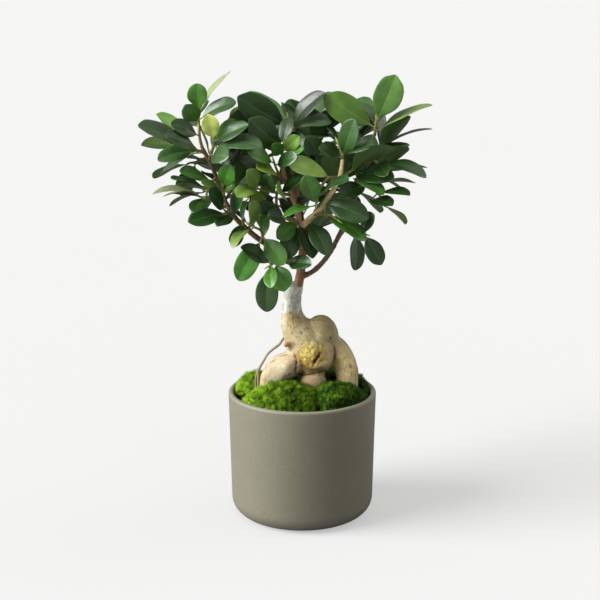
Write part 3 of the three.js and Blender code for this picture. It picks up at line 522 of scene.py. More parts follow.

# %% [markdown]
# The glaze is a matt olive grey. Its look comes from soft clouds of tone, tiny darker and paler
# specks of clay, and a fine grain that breaks the light. The lip is painted a little paler, a
# painted highlight along the rim.

# %% Matt glaze
LIP_FROM = 109.5 * MM
LIP_TO = 112.2 * MM
glaze, tree, shader = new_material("matt_glaze", Specular_IOR_Level=0.42)
place = object_place(tree)
cloudy = use(tree, mottle, place=place, scale=22.0, contrast=1.5,
             dark=linear(98, 96, 81), light=linear(111, 108, 92))
fine_cloud = use(tree, mottle, place=place, scale=420.0, contrast=1.6,
                 dark=linear(96, 94, 80), light=linear(115, 112, 97))
body_color = mixed(tree, 0.45, cloudy["Color"], fine_cloud["Color"])
dark_specks = use(tree, pits, place=place, scale=900.0, size=0.34, share=0.12)
body_color = stained(tree, body_color, dark_specks["Mask"], 0.45, linear(74, 72, 60))
pale_specks = use(tree, pits, place=place, scale=620.0, size=0.3, share=0.08)
body_color = stained(tree, body_color, pale_specks["Mask"], 0.4, linear(158, 156, 140))
upright = add(tree, "ShaderNodeSeparateXYZ", {"Vector": place}).outputs["Z"]
# painted highlight: the lip is a little paler along the rim
body_color = stained(tree, body_color, ranged(tree, upright, LIP_FROM, LIP_TO), 0.5, linear(136, 133, 116))
clay_grain = use(tree, grain, place=place, scale=900.0, sharpness=0.6)
feed(tree, shader, {
    "Base Color": body_color,
    "Roughness": ranged(tree, fine_cloud["Mask"], 0, 1, 0.5, 0.62),
    "Normal": bump(tree, clay_grain["Height"], 0.32, 0.35 * MM),
})
dress(pot, "pot", "pot_glaze", glaze)

# %% [markdown]
# ## Soil
# Dark crumbly soil shows in the gaps between moss and rim. A turned bed gives its surface, and
# uneven crumbs lie half sunk in it. A bumpy texture would look flat where the soil meets the rim.

# %% The bed of soil
GAP = 0.3
SOIL_EDGE_HEIGHT = 104
SOIL_MOUND = 10
INNER_RADIUS = pot_radius(SOIL_EDGE_HEIGHT) - POT_WALL


def soil_top(radius):
    """The height of the soil at a distance from the axis, in millimetres."""
    return SOIL_EDGE_HEIGHT + SOIL_MOUND * (1 - (radius / INNER_RADIUS) ** 2)


soil_profile = [
    (0, POT_FLOOR + GAP), (30, POT_FLOOR + GAP),
    *round_corner(inner_heel_x, inner_heel_z, POT_INNER_HEEL - GAP, -90, 0, 6),
    *[(radius, soil_top(radius)) for radius in np.linspace(INNER_RADIUS - GAP, 0, 19)],
]
bed_points, bed_faces = turned(soil_profile, 96)
on_top = bed_points[:, 2] > (SOIL_EDGE_HEIGHT - 1) * MM
inside = np.hypot(bed_points[:, 0], bed_points[:, 1]) < (INNER_RADIUS - 1) * MM
bed_points[on_top & inside, 2] += 0.7 * MM * noise(bed_points[on_top & inside], 5 * MM, 3)
print("soil:", SOIL_EDGE_HEIGHT, "mm high at the wall,", SOIL_EDGE_HEIGHT + SOIL_MOUND, "mm in the middle")

# %% [markdown]
# A crumb is a rough pebble: a ball of 20 faces whose corners are pushed in and out at random.

# %% Crumbs
GOLDEN = (1 + 5 ** 0.5) / 2
BALL_POINTS = np.array([
    (-1, GOLDEN, 0), (1, GOLDEN, 0), (-1, -GOLDEN, 0), (1, -GOLDEN, 0),
    (0, -1, GOLDEN), (0, 1, GOLDEN), (0, -1, -GOLDEN), (0, 1, -GOLDEN),
    (GOLDEN, 0, -1), (GOLDEN, 0, 1), (-GOLDEN, 0, -1), (-GOLDEN, 0, 1),
]) / math.hypot(1, GOLDEN)
BALL_FACES = [
    (0, 11, 5), (0, 5, 1), (0, 1, 7), (0, 7, 10), (0, 10, 11), (1, 5, 9), (5, 11, 4), (11, 10, 2),
    (10, 7, 6), (7, 1, 8), (3, 9, 4), (3, 4, 2), (3, 2, 6), (3, 6, 8), (3, 8, 9), (4, 9, 5),
    (2, 4, 11), (6, 2, 10), (8, 6, 7), (9, 8, 1),
]
CRUMBS = 1700
CRUMB_SIZE = 0.7
CRUMB_SIZE_SPREAD = 1.1
CRUMB_ROUGHNESS = 0.28
chance = np.random.default_rng(11)
crumbs = [(bed_points, bed_faces)]
for _ in range(CRUMBS):
    radius = INNER_RADIUS * math.sqrt(chance.uniform(0, 1)) * 0.985
    angle = chance.uniform(0, 2 * np.pi)
    size = CRUMB_SIZE + CRUMB_SIZE_SPREAD * chance.random() ** 2
    radius = min(radius, INNER_RADIUS - GAP - 1.3 * size)
    middle = np.array([radius * math.cos(angle), radius * math.sin(angle), soil_top(radius) + 0.25 * size])
    rough = BALL_POINTS * (1 + CRUMB_ROUGHNESS * chance.uniform(-1, 1, (12, 1))) * (1, 1, 0.8)
    crumbs.append(((middle + rough * size) * MM, BALL_FACES))
soil = new_piece("soil_with_crumbs", *joined(crumbs))
print("crumbs of soil:", CRUMBS)

# %% [markdown]
# Moist potting soil is nearly black with paler fibres of peat. Crumbs in two colours could show
# them, but a cloudy tone with a few pale specks does it in one finish.

# %% Dark soil
earth, tree, shader = new_material("dark_soil", Roughness=0.95, Specular_IOR_Level=0.15)
place = object_place(tree)
humus = use(tree, mottle, place=place, scale=160.0, contrast=2.2,
            dark=linear(24, 18, 12), light=linear(66, 50, 34))
fibres = use(tree, pits, place=place, scale=420.0, size=0.4, share=0.08)
soil_color = stained(tree, humus["Color"], fibres["Mask"], 0.6, linear(120, 98, 70))
feed(tree, shader, {"Base Color": soil_color})
soil_grain = use(tree, grain, place=place, scale=1100.0, sharpness=0.7)
feed(tree, shader, {"Normal": bump(tree, soil_grain["Height"], 0.6, 0.0006)})
dress(soil, "potting_soil", "soil", earth)

# %% [markdown]
# ## Limbs
# Roots, branches and twigs are all limbs: a smooth curve through a few points, with a radius at
# each. Blender's curve objects could draw them, but points made in code carry along where each
# one lies on its limb, and the bark's grain needs that.

# %% A smooth route
def smooth_route(route, steps):
    """Points of a smooth curve through a route of [x, z, y, radius], each with its radius."""
    knots = np.array([[*seen(x, z, y), radius * MM] for x, z, y, radius in route])
    padded = np.vstack([2 * knots[0] - knots[1], knots, 2 * knots[-1] - knots[-2]])
    share = (np.arange(steps) / steps)[:, None]
    stretches = []
    for a, b, c, d in zip(padded, padded[1:], padded[2:], padded[3:]):
        before, here, after = (np.linalg.norm((q - p)[:3]) ** 0.5 for p, q in ((a, b), (b, c), (c, d)))
        leave = ((b - a) / before - (c - a) / (before + here) + (c - b) / here) * here
        arrive = ((c - b) / here - (d - b) / (here + after) + (d - c) / after) * here
        square = -3 * b + 3 * c - 2 * leave - arrive
        cube = 2 * b - 2 * c + leave + arrive
        stretches.append(b + leave * share + square * share ** 2 + cube * share ** 3)
    return np.vstack([*stretches, knots[-1:]])


def lengths_along(line):
    """How far along a route each of its points lies."""
    return np.r_[0, np.cumsum(np.linalg.norm(np.diff(line[:, :3], axis=0), axis=1))]


test_line = smooth_route([[0, 200, 0, 2], [10, 210, 5, 2], [20, 215, 0, 1]], 8)
print("a test limb has", len(test_line), "rings")

# %% [markdown]
# The skin of a limb is a tube of rings with a blunt cone at each end. Each ring's frame is
# carried on from the last, because a twisted tube would wind the grain round the limb.

# %% A tube around a route
def unit(vectors):
    """Rows of vectors, each made one long."""
    return vectors / np.linalg.norm(vectors, axis=1)[:, None]


def frames_along(centres):
    """The directions ahead, across and up at each point of a curve, turning as little as possible."""
    ahead = unit(np.gradient(centres, axis=0))
    across = np.array([0.31, 0.95, 0.07])
    sideways = []
    for direction in ahead:
        across = across - across.dot(direction) * direction
        across /= np.linalg.norm(across)
        sideways.append(across)
    sideways = np.array(sideways)
    return ahead, sideways, np.cross(ahead, sideways)


def bridged(count, sides):
    """The faces of a tube of rings."""
    faces = []
    for ring in range(count - 1):
        for side in range(sides):
            here, beside = ring * sides + side, ring * sides + (side + 1) % sides
            faces.append((here, beside, beside + sides, here + sides))
    return faces


def tube(line, sides, shape=None, end_round=0.5):
    """A closed skin around a smooth route. shape widens it by ring and angle."""
    centres, radii = line[:, :3], line[:, 3]
    ahead, across, up = frames_along(centres)
    angles = np.arange(sides) * 2 * np.pi / sides
    reach = np.repeat(radii[:, None], sides, axis=1)
    if shape is not None:
        reach = reach * shape(np.arange(len(line))[:, None], angles[None, :])
    ring_points = (centres[:, None]
                   + across[:, None] * (reach * np.cos(angles))[:, :, None]
                   + up[:, None] * (reach * np.sin(angles))[:, :, None])
    first = centres[0] - ahead[0] * radii[0] * end_round
    last = centres[-1] + ahead[-1] * radii[-1] * end_round
    points = np.vstack([ring_points.reshape(-1, 3), first, last])
    faces = bridged(len(line), sides)
    start = (len(line) - 1) * sides
    for side in range(sides):
        beside = (side + 1) % sides
        faces.append((beside, side, len(points) - 2))
        faces.append((start + side, start + beside, len(points) - 1))
    return points, faces


test_points, test_faces = tube(test_line, 12)
print("its tube:", len(test_points), "points,", len(test_faces), "faces")

# %% [markdown]
# Limbs that grew together are fused by a voxel remesh, which gives even faces and can't fail as
# a boolean can. The softness of a join and the depth of a fold are then found along its edges.

# %% Fused limbs and their neighbours
def points_and_normals(mesh):
    """The points of a mesh, and the direction square to the skin at each."""
    points = np.empty(len(mesh.vertices) * 3)
    mesh.vertices.foreach_get("co", points)
    normals = np.empty(len(mesh.vertices) * 3)
    mesh.vertex_normals.foreach_get("vector", normals)
    return points.reshape(-1, 3), normals.reshape(-1, 3)


def tidied(piece, voxel, smoothing):
    """Fuses the limbs of a piece into one skin, and softens the joins."""
    fuse = piece.modifiers.new("fuse", "REMESH")
    fuse.mode = "VOXEL"
    fuse.voxel_size = voxel
    soften = piece.modifiers.new("soften", "SMOOTH")
    soften.factor = 0.5
    soften.iterations = smoothing
    ready = piece.evaluated_get(bpy.context.evaluated_depsgraph_get())
    mesh = bpy.data.meshes.new_from_object(ready)
    points, normals = points_and_normals(mesh)
    faces = [tuple(polygon.vertices) for polygon in mesh.polygons]
    bpy.data.objects.remove(piece)
    return points, normals, faces


def neighbour_mean(points, pairs, passes, share=1.0):
    """Moves each point towards the mean of its neighbours, a few times."""
    first, second = pairs
    count = np.bincount(first, minlength=len(points)) + np.bincount(second, minlength=len(points))
    for _ in range(passes):
        total = np.stack([
            np.bincount(first, points[second, axis], len(points))
            + np.bincount(second, points[first, axis], len(points)) for axis in range(points.shape[1])
        ], axis=1)
        points = points + (total / count[:, None] - points) * share
    return points


def pairs_of(faces):
    """The edges of a mesh of quads, as two rows of point numbers."""
    quads = np.array(faces)
    edges = np.sort(np.vstack([quads[:, [i, (i + 1) % 4]] for i in range(4)]), axis=1)
    return np.unique(edges, axis=0).T


def border_of(owner, pairs, passes):
    """How close each point lies to where one limb's grain meets another's, from 0 to 1."""
    first, second = pairs
    meets = owner[first] != owner[second]
    border = np.zeros((len(owner), 1))
    border[first[meets]] = 1
    border[second[meets]] = 1
    around = neighbour_mean(border, pairs, passes)
    return np.maximum(border, soft_step(around, 0, 0.4))[:, 0]


print("a square has", pairs_of([(0, 1, 2, 3)]).shape[1], "edges")

# %% [markdown]
# Grain and pores run along a limb, so each point of the skin needs its place along and around
# the nearest limb. The search goes block by block, because one table would need gigabytes.

# %% Places on the limbs
BLOCK = 4000
LIMB_SHIFT = 0.4


def nearest_on(points, centres, radii):
    """For each point the nearest centre's number, and how far the point lies outside its radius."""
    numbers, distances = [], []
    for first in range(0, len(points), BLOCK):
        away = np.linalg.norm(points[first:first + BLOCK, None] - centres[None], axis=2) - radii
        numbers.append(away.argmin(axis=1))
        distances.append(away.min(axis=1))
    return np.concatenate(numbers), np.concatenate(distances)


def place_on_limbs(points, routes, steps=12):
    """For each point the nearest limb's number, and its place along and around that limb."""
    lines = [smooth_route(route, steps) for route in routes]
    frames = [frames_along(line[:, :3]) for line in lines]
    centres, radii = np.vstack(lines)[:, :3], np.vstack(lines)[:, 3]
    across = np.vstack([frame[1] for frame in frames])
    up = np.vstack([frame[2] for frame in frames])
    along = np.concatenate([lengths_along(line) for line in lines])
    owner = np.concatenate([np.full(len(line), number) for number, line in enumerate(lines)])
    nearest, _ = nearest_on(points, centres, radii)
    offset = points - centres[nearest]
    grain_place = np.stack([
        along[nearest],
        (offset * across[nearest]).sum(axis=1),
        (offset * up[nearest]).sum(axis=1),
    ], axis=1)
    grain_place[:, 0] += LIMB_SHIFT * owner[nearest]
    return owner[nearest], grain_place


print("points searched at a time:", BLOCK)

# %% [markdown]
# ## Rootstock
# The ginseng fig's body is a few swollen roots that grew together: a neck, a round shoulder,
# two legs in front, a lump between them and three legs behind. Each is a fat limb. They are
# fused by a voxel remesh, which also gives an even skin for the fine relief. Sculpting it by
# hand could look as good, but it couldn't be rerun.

# %% The roots' routes
THICK_ROOTS = [
    # body, from the neck down to the lip of the pruned face
    [[-6.9, 207, 0, 7], [-8.2, 203, 0, 7.6], [-8.9, 196, 0, 7.6], [-9, 181, 0, 9.4], [-6.8, 173, 0, 11.8],
     [-1, 163, 0, 16.2], [6, 151, 0, 20.6], [9, 143, -1, 20.2], [9.5, 136, -1, 17.5],
     [9.5, 132.5, -1, 13.5], [9.5, 130, 0, 7]],
    # round shoulder at the upper right
    [[-3, 164, 2, 8], [8.5, 165, 1, 10.6], [16, 166, 0, 13.6], [21.5, 162, 0, 11.4], [24, 154, 0, 7]],
    # right leg
    [[12, 152, 3, 11], [20.5, 153, 3, 11.2], [27.5, 150.3, 3, 11.2], [32.7, 145, 2.5, 11],
     [36.2, 138, 2, 10.6], [38.6, 129.6, 1, 10.1], [39.7, 119, 0, 9.2], [40.5, 108, 0, 8.4],
     [41, 92, 0, 4.5]],
    # left leg, with a blunt end at the pruned face
    [[-3, 136, -9, 6.5], [-6, 135.5, -9.5, 9.8], [-10.5, 134.5, -9.3, 11.6], [-16, 132.6, -9, 12.2],
     [-21.5, 128.4, -8.5, 11.9], [-26.6, 122.6, -8, 10.8], [-29.2, 115, -7, 9.3], [-30.3, 106, -6, 7.3],
     [-30.5, 92, -4, 4]],
    # lump in the middle
    [[9, 135, -2, 7.5], [9, 126, -6, 10.2], [9, 118.5, -7, 12.2], [9, 110, -6, 10.8], [9, 92, -3, 5.5]],
    # legs behind
    [[8, 143, 8, 13.5], [7, 133, 20, 10.5], [7, 120, 25, 9], [7, 105, 26, 6.5], [7, 92, 26, 4]],
    [[-1, 144, 6, 11], [-10, 136, 14, 9], [-17, 128, 19, 7.5], [-20, 117, 21, 6.5], [-21, 92, 21, 4]],
    [[20, 150, 6, 11.5], [32, 143, 14, 9], [38, 132, 18, 7.5], [39, 118, 20, 6.5], [39, 92, 20, 4]],
]
THIN_ROOTS = [
    # broken stub beside the neck
    [[-5, 156, -8, 3.2], [-12, 154, -12, 3], [-16, 153, -13.5, 2.6]],
    # aerial root that hangs from the neck past the left leg
    [[-12, 162, -2, 1.2], [-16.5, 158.5, -3, 1.2], [-20, 153.5, -4, 1.2], [-26.5, 148, -5, 1.1],
     [-31, 143.5, -6, 1.1], [-35, 137, -7, 1.1], [-38.2, 129, -8, 1.1], [-38.8, 118, -8, 1.1],
     [-38.8, 98, -8, 1]],
    [[-35.6, 136, -7.3, 0.9], [-39, 129.5, -6.5, 0.9], [-41, 120, -6, 0.9], [-41.3, 98, -6, 0.8]],
    # rootlet in the hollow under the left leg
    [[-4.5, 131, -6, 0.9], [-3.6, 122, -7, 0.9], [-3.4, 98, -7, 0.8]],
]
ROOT_VOXEL = 0.8 * MM


def root_swell(ring, angle):
    """Uneven swelling around a thick root."""
    return 1 + 0.03 * np.sin(3 * angle + 0.34 * ring) + 0.018 * np.cos(5 * angle + 0.2 * ring)


root_skins = [tube(smooth_route(route, 5), 28, root_swell) for route in THICK_ROOTS]
root_skins.append(tube(smooth_route(THIN_ROOTS[0], 5), 16))
rough_roots = new_piece("rough_roots", *joined(root_skins))
fused_points, fused_normals, root_faces = tidied(rough_roots, ROOT_VOXEL, 4)
print("fused roots:", len(fused_points), "points")

# %% [markdown]
# On the plant the neck, body and shoulder flow into each other, and only the legs keep a crease
# where they press against the body. So the joins are filled like a fillet: near a second root
# the skin is pushed out, most in the crease itself, and the crease is then eased.

# %% Joins that flow
FILLET_REACH = np.array([6, 3, 4.5, 7, 4, 7, 7, 7, 2]) * MM
BEYOND_REACH = 1.0


def distances_to(points, skins, limit):
    """How far each point lies from the skin of each root."""
    table = np.full((len(points), len(skins)), BEYOND_REACH)
    places = [Vector(point) for point in points]
    for column, (skin_points, skin_faces) in enumerate(skins):
        tree = BVHTree.FromPolygons(skin_points.tolist(), skin_faces)
        for row, place in enumerate(places):
            distance = tree.find_nearest(place, limit)[3]
            if distance is not None:
                table[row, column] = distance
    return table


def normals_of(points, faces):
    """The direction square to the skin at each point of a mesh of quads."""
    corners = np.array(faces)
    first, second, third, fourth = (points[corners[:, i]] for i in range(4))
    square = np.cross(third - first, fourth - second)
    total = np.stack([
        np.bincount(corners.ravel(), np.repeat(square[:, axis], 4), len(points)) for axis in range(3)
    ], axis=1)
    return unit(total)


away = distances_to(fused_points, root_skins, FILLET_REACH.max())
nearest_two = np.argsort(away, axis=1)[:, :2]
rows = np.arange(len(away))
reach = np.minimum(FILLET_REACH[nearest_two[:, 0]], FILLET_REACH[nearest_two[:, 1]])
gap_between = away[rows, nearest_two[:, 1]] - away[rows, nearest_two[:, 0]]
nearness = np.clip(1 - gap_between / reach, 0, 1)
push = reach / 4 * nearness ** 2
filled = fused_points + fused_normals * push[:, None]
root_pairs = pairs_of(root_faces)
easing = (0.15 + 0.85 * soft_step(nearness, 0.0, 0.6)) * np.clip(reach / (6 * MM), 0.3, 1)
root_points = neighbour_mean(filled, root_pairs, 14, easing[:, None])
root_normals = normals_of(root_points, root_faces)
print("fillets push the skin out by up to", round(push.max() / MM, 1), "mm")

# %% [markdown]
# The relief has two parts. Noise gives lumps, wrinkles across a root and long streaks down it.
# Named marks of this plant are cut in where the front view shows them: the pruned face with its
# dark slit, the crease beside the right leg, and the lip below the face.

# %% Relief of the roots
SLIT = [(10.6, 136), (12.4, 138.6), (14.6, 142.2), (15.8, 144.6)]
RIGHT_CREASE = [(28.5, 151), (29, 145), (28, 139), (26.5, 135)]
FACE_LIP = [(-3, 129), (3, 129.5), (11, 131), (19, 133), (25, 138), (27, 145)]
LEFT_EDGE = [(-6.5, 143), (-4.8, 139.5), (-5.2, 134), (-6, 128.5)]
LIP_GAP = [(-6, 127), (0, 125), (6, 126), (14, 127.5), (21, 129.5)]
FACE_MIDDLE = (7.5, 143)
FACE_REACH = (15.5, 14.5)
WAX_FROM = 182.5
WAX_FULL = 185


def distance_to(view_x, view_z, line):
    """How far each place of the front view is from a line, in millimetres."""
    best = np.full(len(view_x), np.inf)
    for (x0, z0), (x1, z1) in zip(line, line[1:]):
        run = np.array([x1 - x0, z1 - z0])
        share = ((view_x - x0) * run[0] + (view_z - z0) * run[1]) / run.dot(run)
        share = np.clip(share, 0, 1)
        best = np.minimum(best, np.hypot(view_x - x0 - share * run[0], view_z - z0 - share * run[1]))
    return best


def ridge(distance, width):
    """1 on a line, and less and less beside it."""
    return np.exp(-((distance / width) ** 2))


root_owner, root_grain = place_on_limbs(root_points, THICK_ROOTS)
clear_of_border = 1 - border_of(root_owner, root_pairs, 6)
view_x, view_z = front_view(root_points)
in_front = soft_step(-root_points[:, 1] / MM, 5, 10)
from_face = np.hypot((view_x - FACE_MIDDLE[0]) / FACE_REACH[0], (view_z - FACE_MIDDLE[1]) / FACE_REACH[1])
face = 1 - soft_step(from_face + 0.3 * noise(root_points, 6 * MM, 7), 0.62, 1.08)
on_body = np.isin(root_owner, (0, 1))
face = face * in_front * on_body
slit = ridge(distance_to(view_x, view_z, SLIT) + 0.5 * noise(root_points, 2 * MM, 24), 1.3) * in_front
crease = ridge(distance_to(view_x, view_z, RIGHT_CREASE), 1.1) * in_front
lip = ridge(distance_to(view_x, view_z, FACE_LIP), 2.2) * in_front
torn = 0.7 * noise(root_points, 2.4 * MM, 23)
left_edge = ridge(distance_to(view_x, view_z, LEFT_EDGE) + torn, 1.1) * in_front
chips = noise(root_points, 2.4 * MM, 21) + 0.6 * noise(root_points, 1.2 * MM, 22)
height = (0.5 * noise(root_points, 14 * MM, 1)
          + 0.22 * noise(root_points, 5 * MM, 2)
          + 0.12 * clear_of_border * noise(root_grain, np.array([15, 2.2, 2.2]) * MM, 4)
          + 0.09 * clear_of_border * noise(root_grain, np.array([2.0, 9, 9]) * MM, 5)
          + 0.06 * noise(root_points, 1.6 * MM, 6))
neck = soft_step(root_points[:, 2] / MM + 3 * noise(root_points, 4 * MM, 9), WAX_FROM, WAX_FULL)
height += face * (0.5 * chips - 0.5) + 0.7 * lip - 3.4 * slit - 1.2 * crease - 0.9 * left_edge
height += neck * (0.15 + 0.3 * noise(root_points, np.array([2.6, 2.6, 7]) * MM, 12))
root_points = root_points + root_normals * (height * MM)[:, None]
print("relief from", height.min().round(2), "to", height.max().round(2), "mm")

# %% [markdown]
# The thin hanging roots and the rootlet are too thin for the voxels, so they join the skin as
# tubes of their own. They wander a little, as real ones do. The marks for the bark's finish are
# then kept on the mesh: grain, folds, the torn face, painted shade in the gaps, rust and wax.

# %% Thin roots and the finished skin
thin_skins = [tube(smooth_route(route, 8), 9) for route in THIN_ROOTS[1:]]
thin_points = np.vstack([points for points, _ in thin_skins])
all_points, all_faces = joined([(root_points, root_faces), *thin_skins])
thin_count = len(thin_points)
wander = np.stack([noise(thin_points, 7 * MM, seed) for seed in (31, 32, 33)], axis=1)
all_points[-thin_count:] += wander * 0.35 * MM
roots = new_piece("swollen_roots", all_points, all_faces)


def with_thin(values, thin_value=0.0):
    """Values of the thick roots, followed by one value for all points of the thin ones."""
    return np.concatenate([values, np.full(thin_count, thin_value)])


def folds_of(piece, passes):
    """How deep each point lies in a fold, from 0 on open skin to 1."""
    points, normals = points_and_normals(piece.data)
    edges = np.empty(len(piece.data.edges) * 2, int)
    piece.data.edges.foreach_get("vertices", edges)
    soft = neighbour_mean(points, edges.reshape(-1, 2).T, passes)
    depth = ((soft - points) * normals).sum(axis=1)
    return soft_step(depth, 0.05 * MM, 0.55 * MM)


_, thin_grain = place_on_limbs(thin_points, THIN_ROOTS[1:])
paint(roots, "fold", folds_of(roots, 14))
paint(roots, "grain_place", np.vstack([root_grain, thin_grain]))
paint(roots, "seam", with_thin(border_of(root_owner, root_pairs, 2)))
paint(roots, "cut_wood", with_thin(face))
# painted shade: the slit, the crease, the torn left edge and the gap under the lip are darkened, as shade
# falls in them
paint(roots, "painted_gap_shade", with_thin(np.clip(
    soft_step(slit, 0.3, 0.75) + soft_step(crease, 0.4, 0.95) + 0.7 * soft_step(left_edge, 0.4, 0.95)
    + 0.9 * soft_step(ridge(distance_to(view_x, view_z, LIP_GAP), 1.4) * in_front, 0.4, 0.9), 0, 1)))
rust_lines = [(SLIT, 4.2), (RIGHT_CREASE, 3.0), (LEFT_EDGE, 3.2), ([(-4, 130), (4, 129), (16, 131)], 2.0),
              ([(-3, 141), (-1.5, 134.5), (5, 132)], 2.4)]
rust = np.max([ridge(distance_to(view_x, view_z, line), width) for line, width in rust_lines], axis=0)
rust = rust * in_front * np.where(root_owner == 3, 0.35, 1.0)
paint(roots, "rust", with_thin(np.clip(rust + 0.35 * rust * noise(root_points, 2.5 * MM, 15), 0, 1)))
paint(roots, "wax", with_thin(neck))
paint(roots, "thin_root", with_thin(np.zeros(len(root_points)), 1.0))
print("thin roots:", len(thin_skins))

# %% [markdown]
# The left leg is pale and pinkish, the shoulder a darker olive, and a smooth yellow patch runs
# down the right leg. The right leg is also painted paler, a painted light that lifts the shade on
# its side away from the lamp. A few soft zones of the front view say where, as a colour on the mesh.

# %% Zones of the bark
BARK_TONE = linear(170, 156, 120)
BARK_ZONES = [
    # x, z of the middle, reach along x, reach along z, tone, strength
    (-20, 131, 20, 18, (188, 174, 146), 1.0),
    (-7, 137, 7, 6, (194, 172, 142), 0.8),
    (19, 171, 13, 10, (138, 126, 86), 0.9),
    (-17, 173, 4, 12, (186, 178, 152), 0.7),
    (-7, 175, 7, 9, (166, 148, 98), 0.6),
    (5, 158, 14, 8, (174, 161, 123), 0.8),
    (33, 137, 4, 9, (206, 184, 112), 0.8),
    # painted light: the right leg is made paler, which lifts the shade on its side away from the lamp
    (39, 128, 10, 24, (226, 204, 152), 0.9),
    (9, 116, 14, 10, (176, 150, 116), 0.8),
    (-13, 153, 3.2, 3.2, (188, 138, 104), 1.0),
]
bark_tones = np.tile(np.array(BARK_TONE), (len(all_points), 1))
zone_x, zone_z = front_view(all_points)
for x, z, reach_x, reach_z, tone, strength in BARK_ZONES:
    out = np.hypot((zone_x - x) / reach_x, (zone_z - z) / reach_z) + 0.2 * noise(all_points, 7 * MM, 17)
    share = strength * (1 - soft_step(out, 0.5, 1.2)) * soft_step(-all_points[:, 1] / MM, -8, 3)
    bark_tones += (np.array(linear(*tone)) - bark_tones) * share[:, None]
bark_tones[:, :3] *= (1 + 0.07 * noise(all_points, 8 * MM, 18))[:, None]
paint(roots, "bark_tone", bark_tones)
print("zones of bark:", len(BARK_ZONES))

# %% [markdown]
# The bark is thin and tan, with soft clouds, streaks along the grain, dark pores and rust along
# the cracks. Bark, wood and wax are one material, because separate ones would meet in hard edges.

# %% Root bark
bark, tree, shader = new_material("root_bark", Specular_IOR_Level=0.35)
place = object_place(tree)
along = attribute(tree, "grain_place", "Vector")
stretched = add(tree, "ShaderNodeVectorMath", {0: along, 1: (0.42, 1, 1)}, operation="MULTIPLY").outputs[0]
off_seam = math_node(tree, "SUBTRACT", 1.0, attribute(tree, "seam"))
tone = attribute(tree, "bark_tone", "Color")
broad = use(tree, mottle, place=place, scale=75.0, contrast=2.0,
            dark=(0.8, 0.79, 0.74, 1), light=(1.09, 1.09, 1.09, 1))
streaks = use(tree, mottle, place=stretched, scale=480.0, contrast=2.2,
              dark=(0.78, 0.75, 0.7, 1), light=(1.1, 1.1, 1.1, 1))
skin = tinted(tree, tone, broad["Color"])
skin = tinted(tree, skin, streaks["Color"], off_seam)
pores = use(tree, pits, place=stretched, scale=400.0, size=0.44, share=0.4)
pore_marks = times(tree, pores["Mask"], off_seam)
fine_pores = use(tree, pits, place=place, scale=680.0, size=0.46, share=0.42)
skin = stained(tree, skin, pore_marks, 0.8, linear(88, 66, 34))
skin = stained(tree, skin, fine_pores["Mask"], 0.6, linear(100, 80, 46))
rusty = attribute(tree, "rust")
skin = stained(tree, skin, rusty, 0.6, linear(142, 96, 48))
skin = stained(tree, skin, attribute(tree, "thin_root"), 0.75, linear(122, 112, 82))
print("finish:", bark.name)

# %% [markdown]
# The torn face is raw yellow wood with brown specks. The neck's whitish grafting wax is clouded
# and specked with dirt. Both lie over the bark, the wax last.

# %% Raw wood and wax
cut = attribute(tree, "cut_wood")
raw_wood = use(tree, mottle, place=place, scale=300.0, contrast=2.4,
               dark=linear(140, 116, 48), light=linear(208, 192, 106))
raw_specks = use(tree, pits, place=place, scale=560.0, size=0.46, share=0.42)
raw = stained(tree, raw_wood["Color"], raw_specks["Mask"], 0.7, linear(104, 80, 26))
raw = stained(tree, raw, rusty, 0.75, linear(142, 92, 30))
skin = mixed(tree, cut, skin, raw)

wax = attribute(tree, "wax")
wax_cloud = use(tree, mottle, place=place, scale=190.0, contrast=2.2,
                dark=linear(136, 136, 118), light=linear(208, 208, 202))
wax_specks = use(tree, pits, place=place, scale=520.0, size=0.5, share=0.36)
coat = stained(tree, wax_cloud["Color"], wax_specks["Mask"], 0.7, linear(96, 90, 64))
skin = mixed(tree, wax, skin, coat)
# painted shade darkens the slit, the crease, the torn left edge and the gap under the lip
skin = stained(tree, skin, attribute(tree, "painted_gap_shade"), 0.92, linear(40, 24, 12))
shaded = use(tree, crevices, color=skin, crevice=linear(84, 60, 32), amount=0.85)
feed(tree, shader, {"Base Color": shaded["Color"]})
feed(tree, shader, {"Roughness": ranged(tree, wax, 0, 1, 0.58, 0.42)})
bark_grain = use(tree, grain, place=stretched, scale=1500.0, sharpness=0.65)
pitted = math_node(tree, "SUBTRACT", bark_grain["Height"], times(tree, pore_marks, 0.9))
pitted = times(tree, pitted, off_seam)
feed(tree, shader, {"Normal": bump(tree, pitted, 0.7, 0.0006)})
dress(roots, "rootstock", "root_bark", bark)

# %% [markdown]
# ## Branches
# One grafted stem rises from the wax and forks into nine boughs. They are limbs as well, fused
# in the same way, so each fork gets a soft collar. Every 7 to 10 mm a fig's branch has a ring,
# the scar of an old leaf. Rings could be drawn by a texture, but these also show in outline.

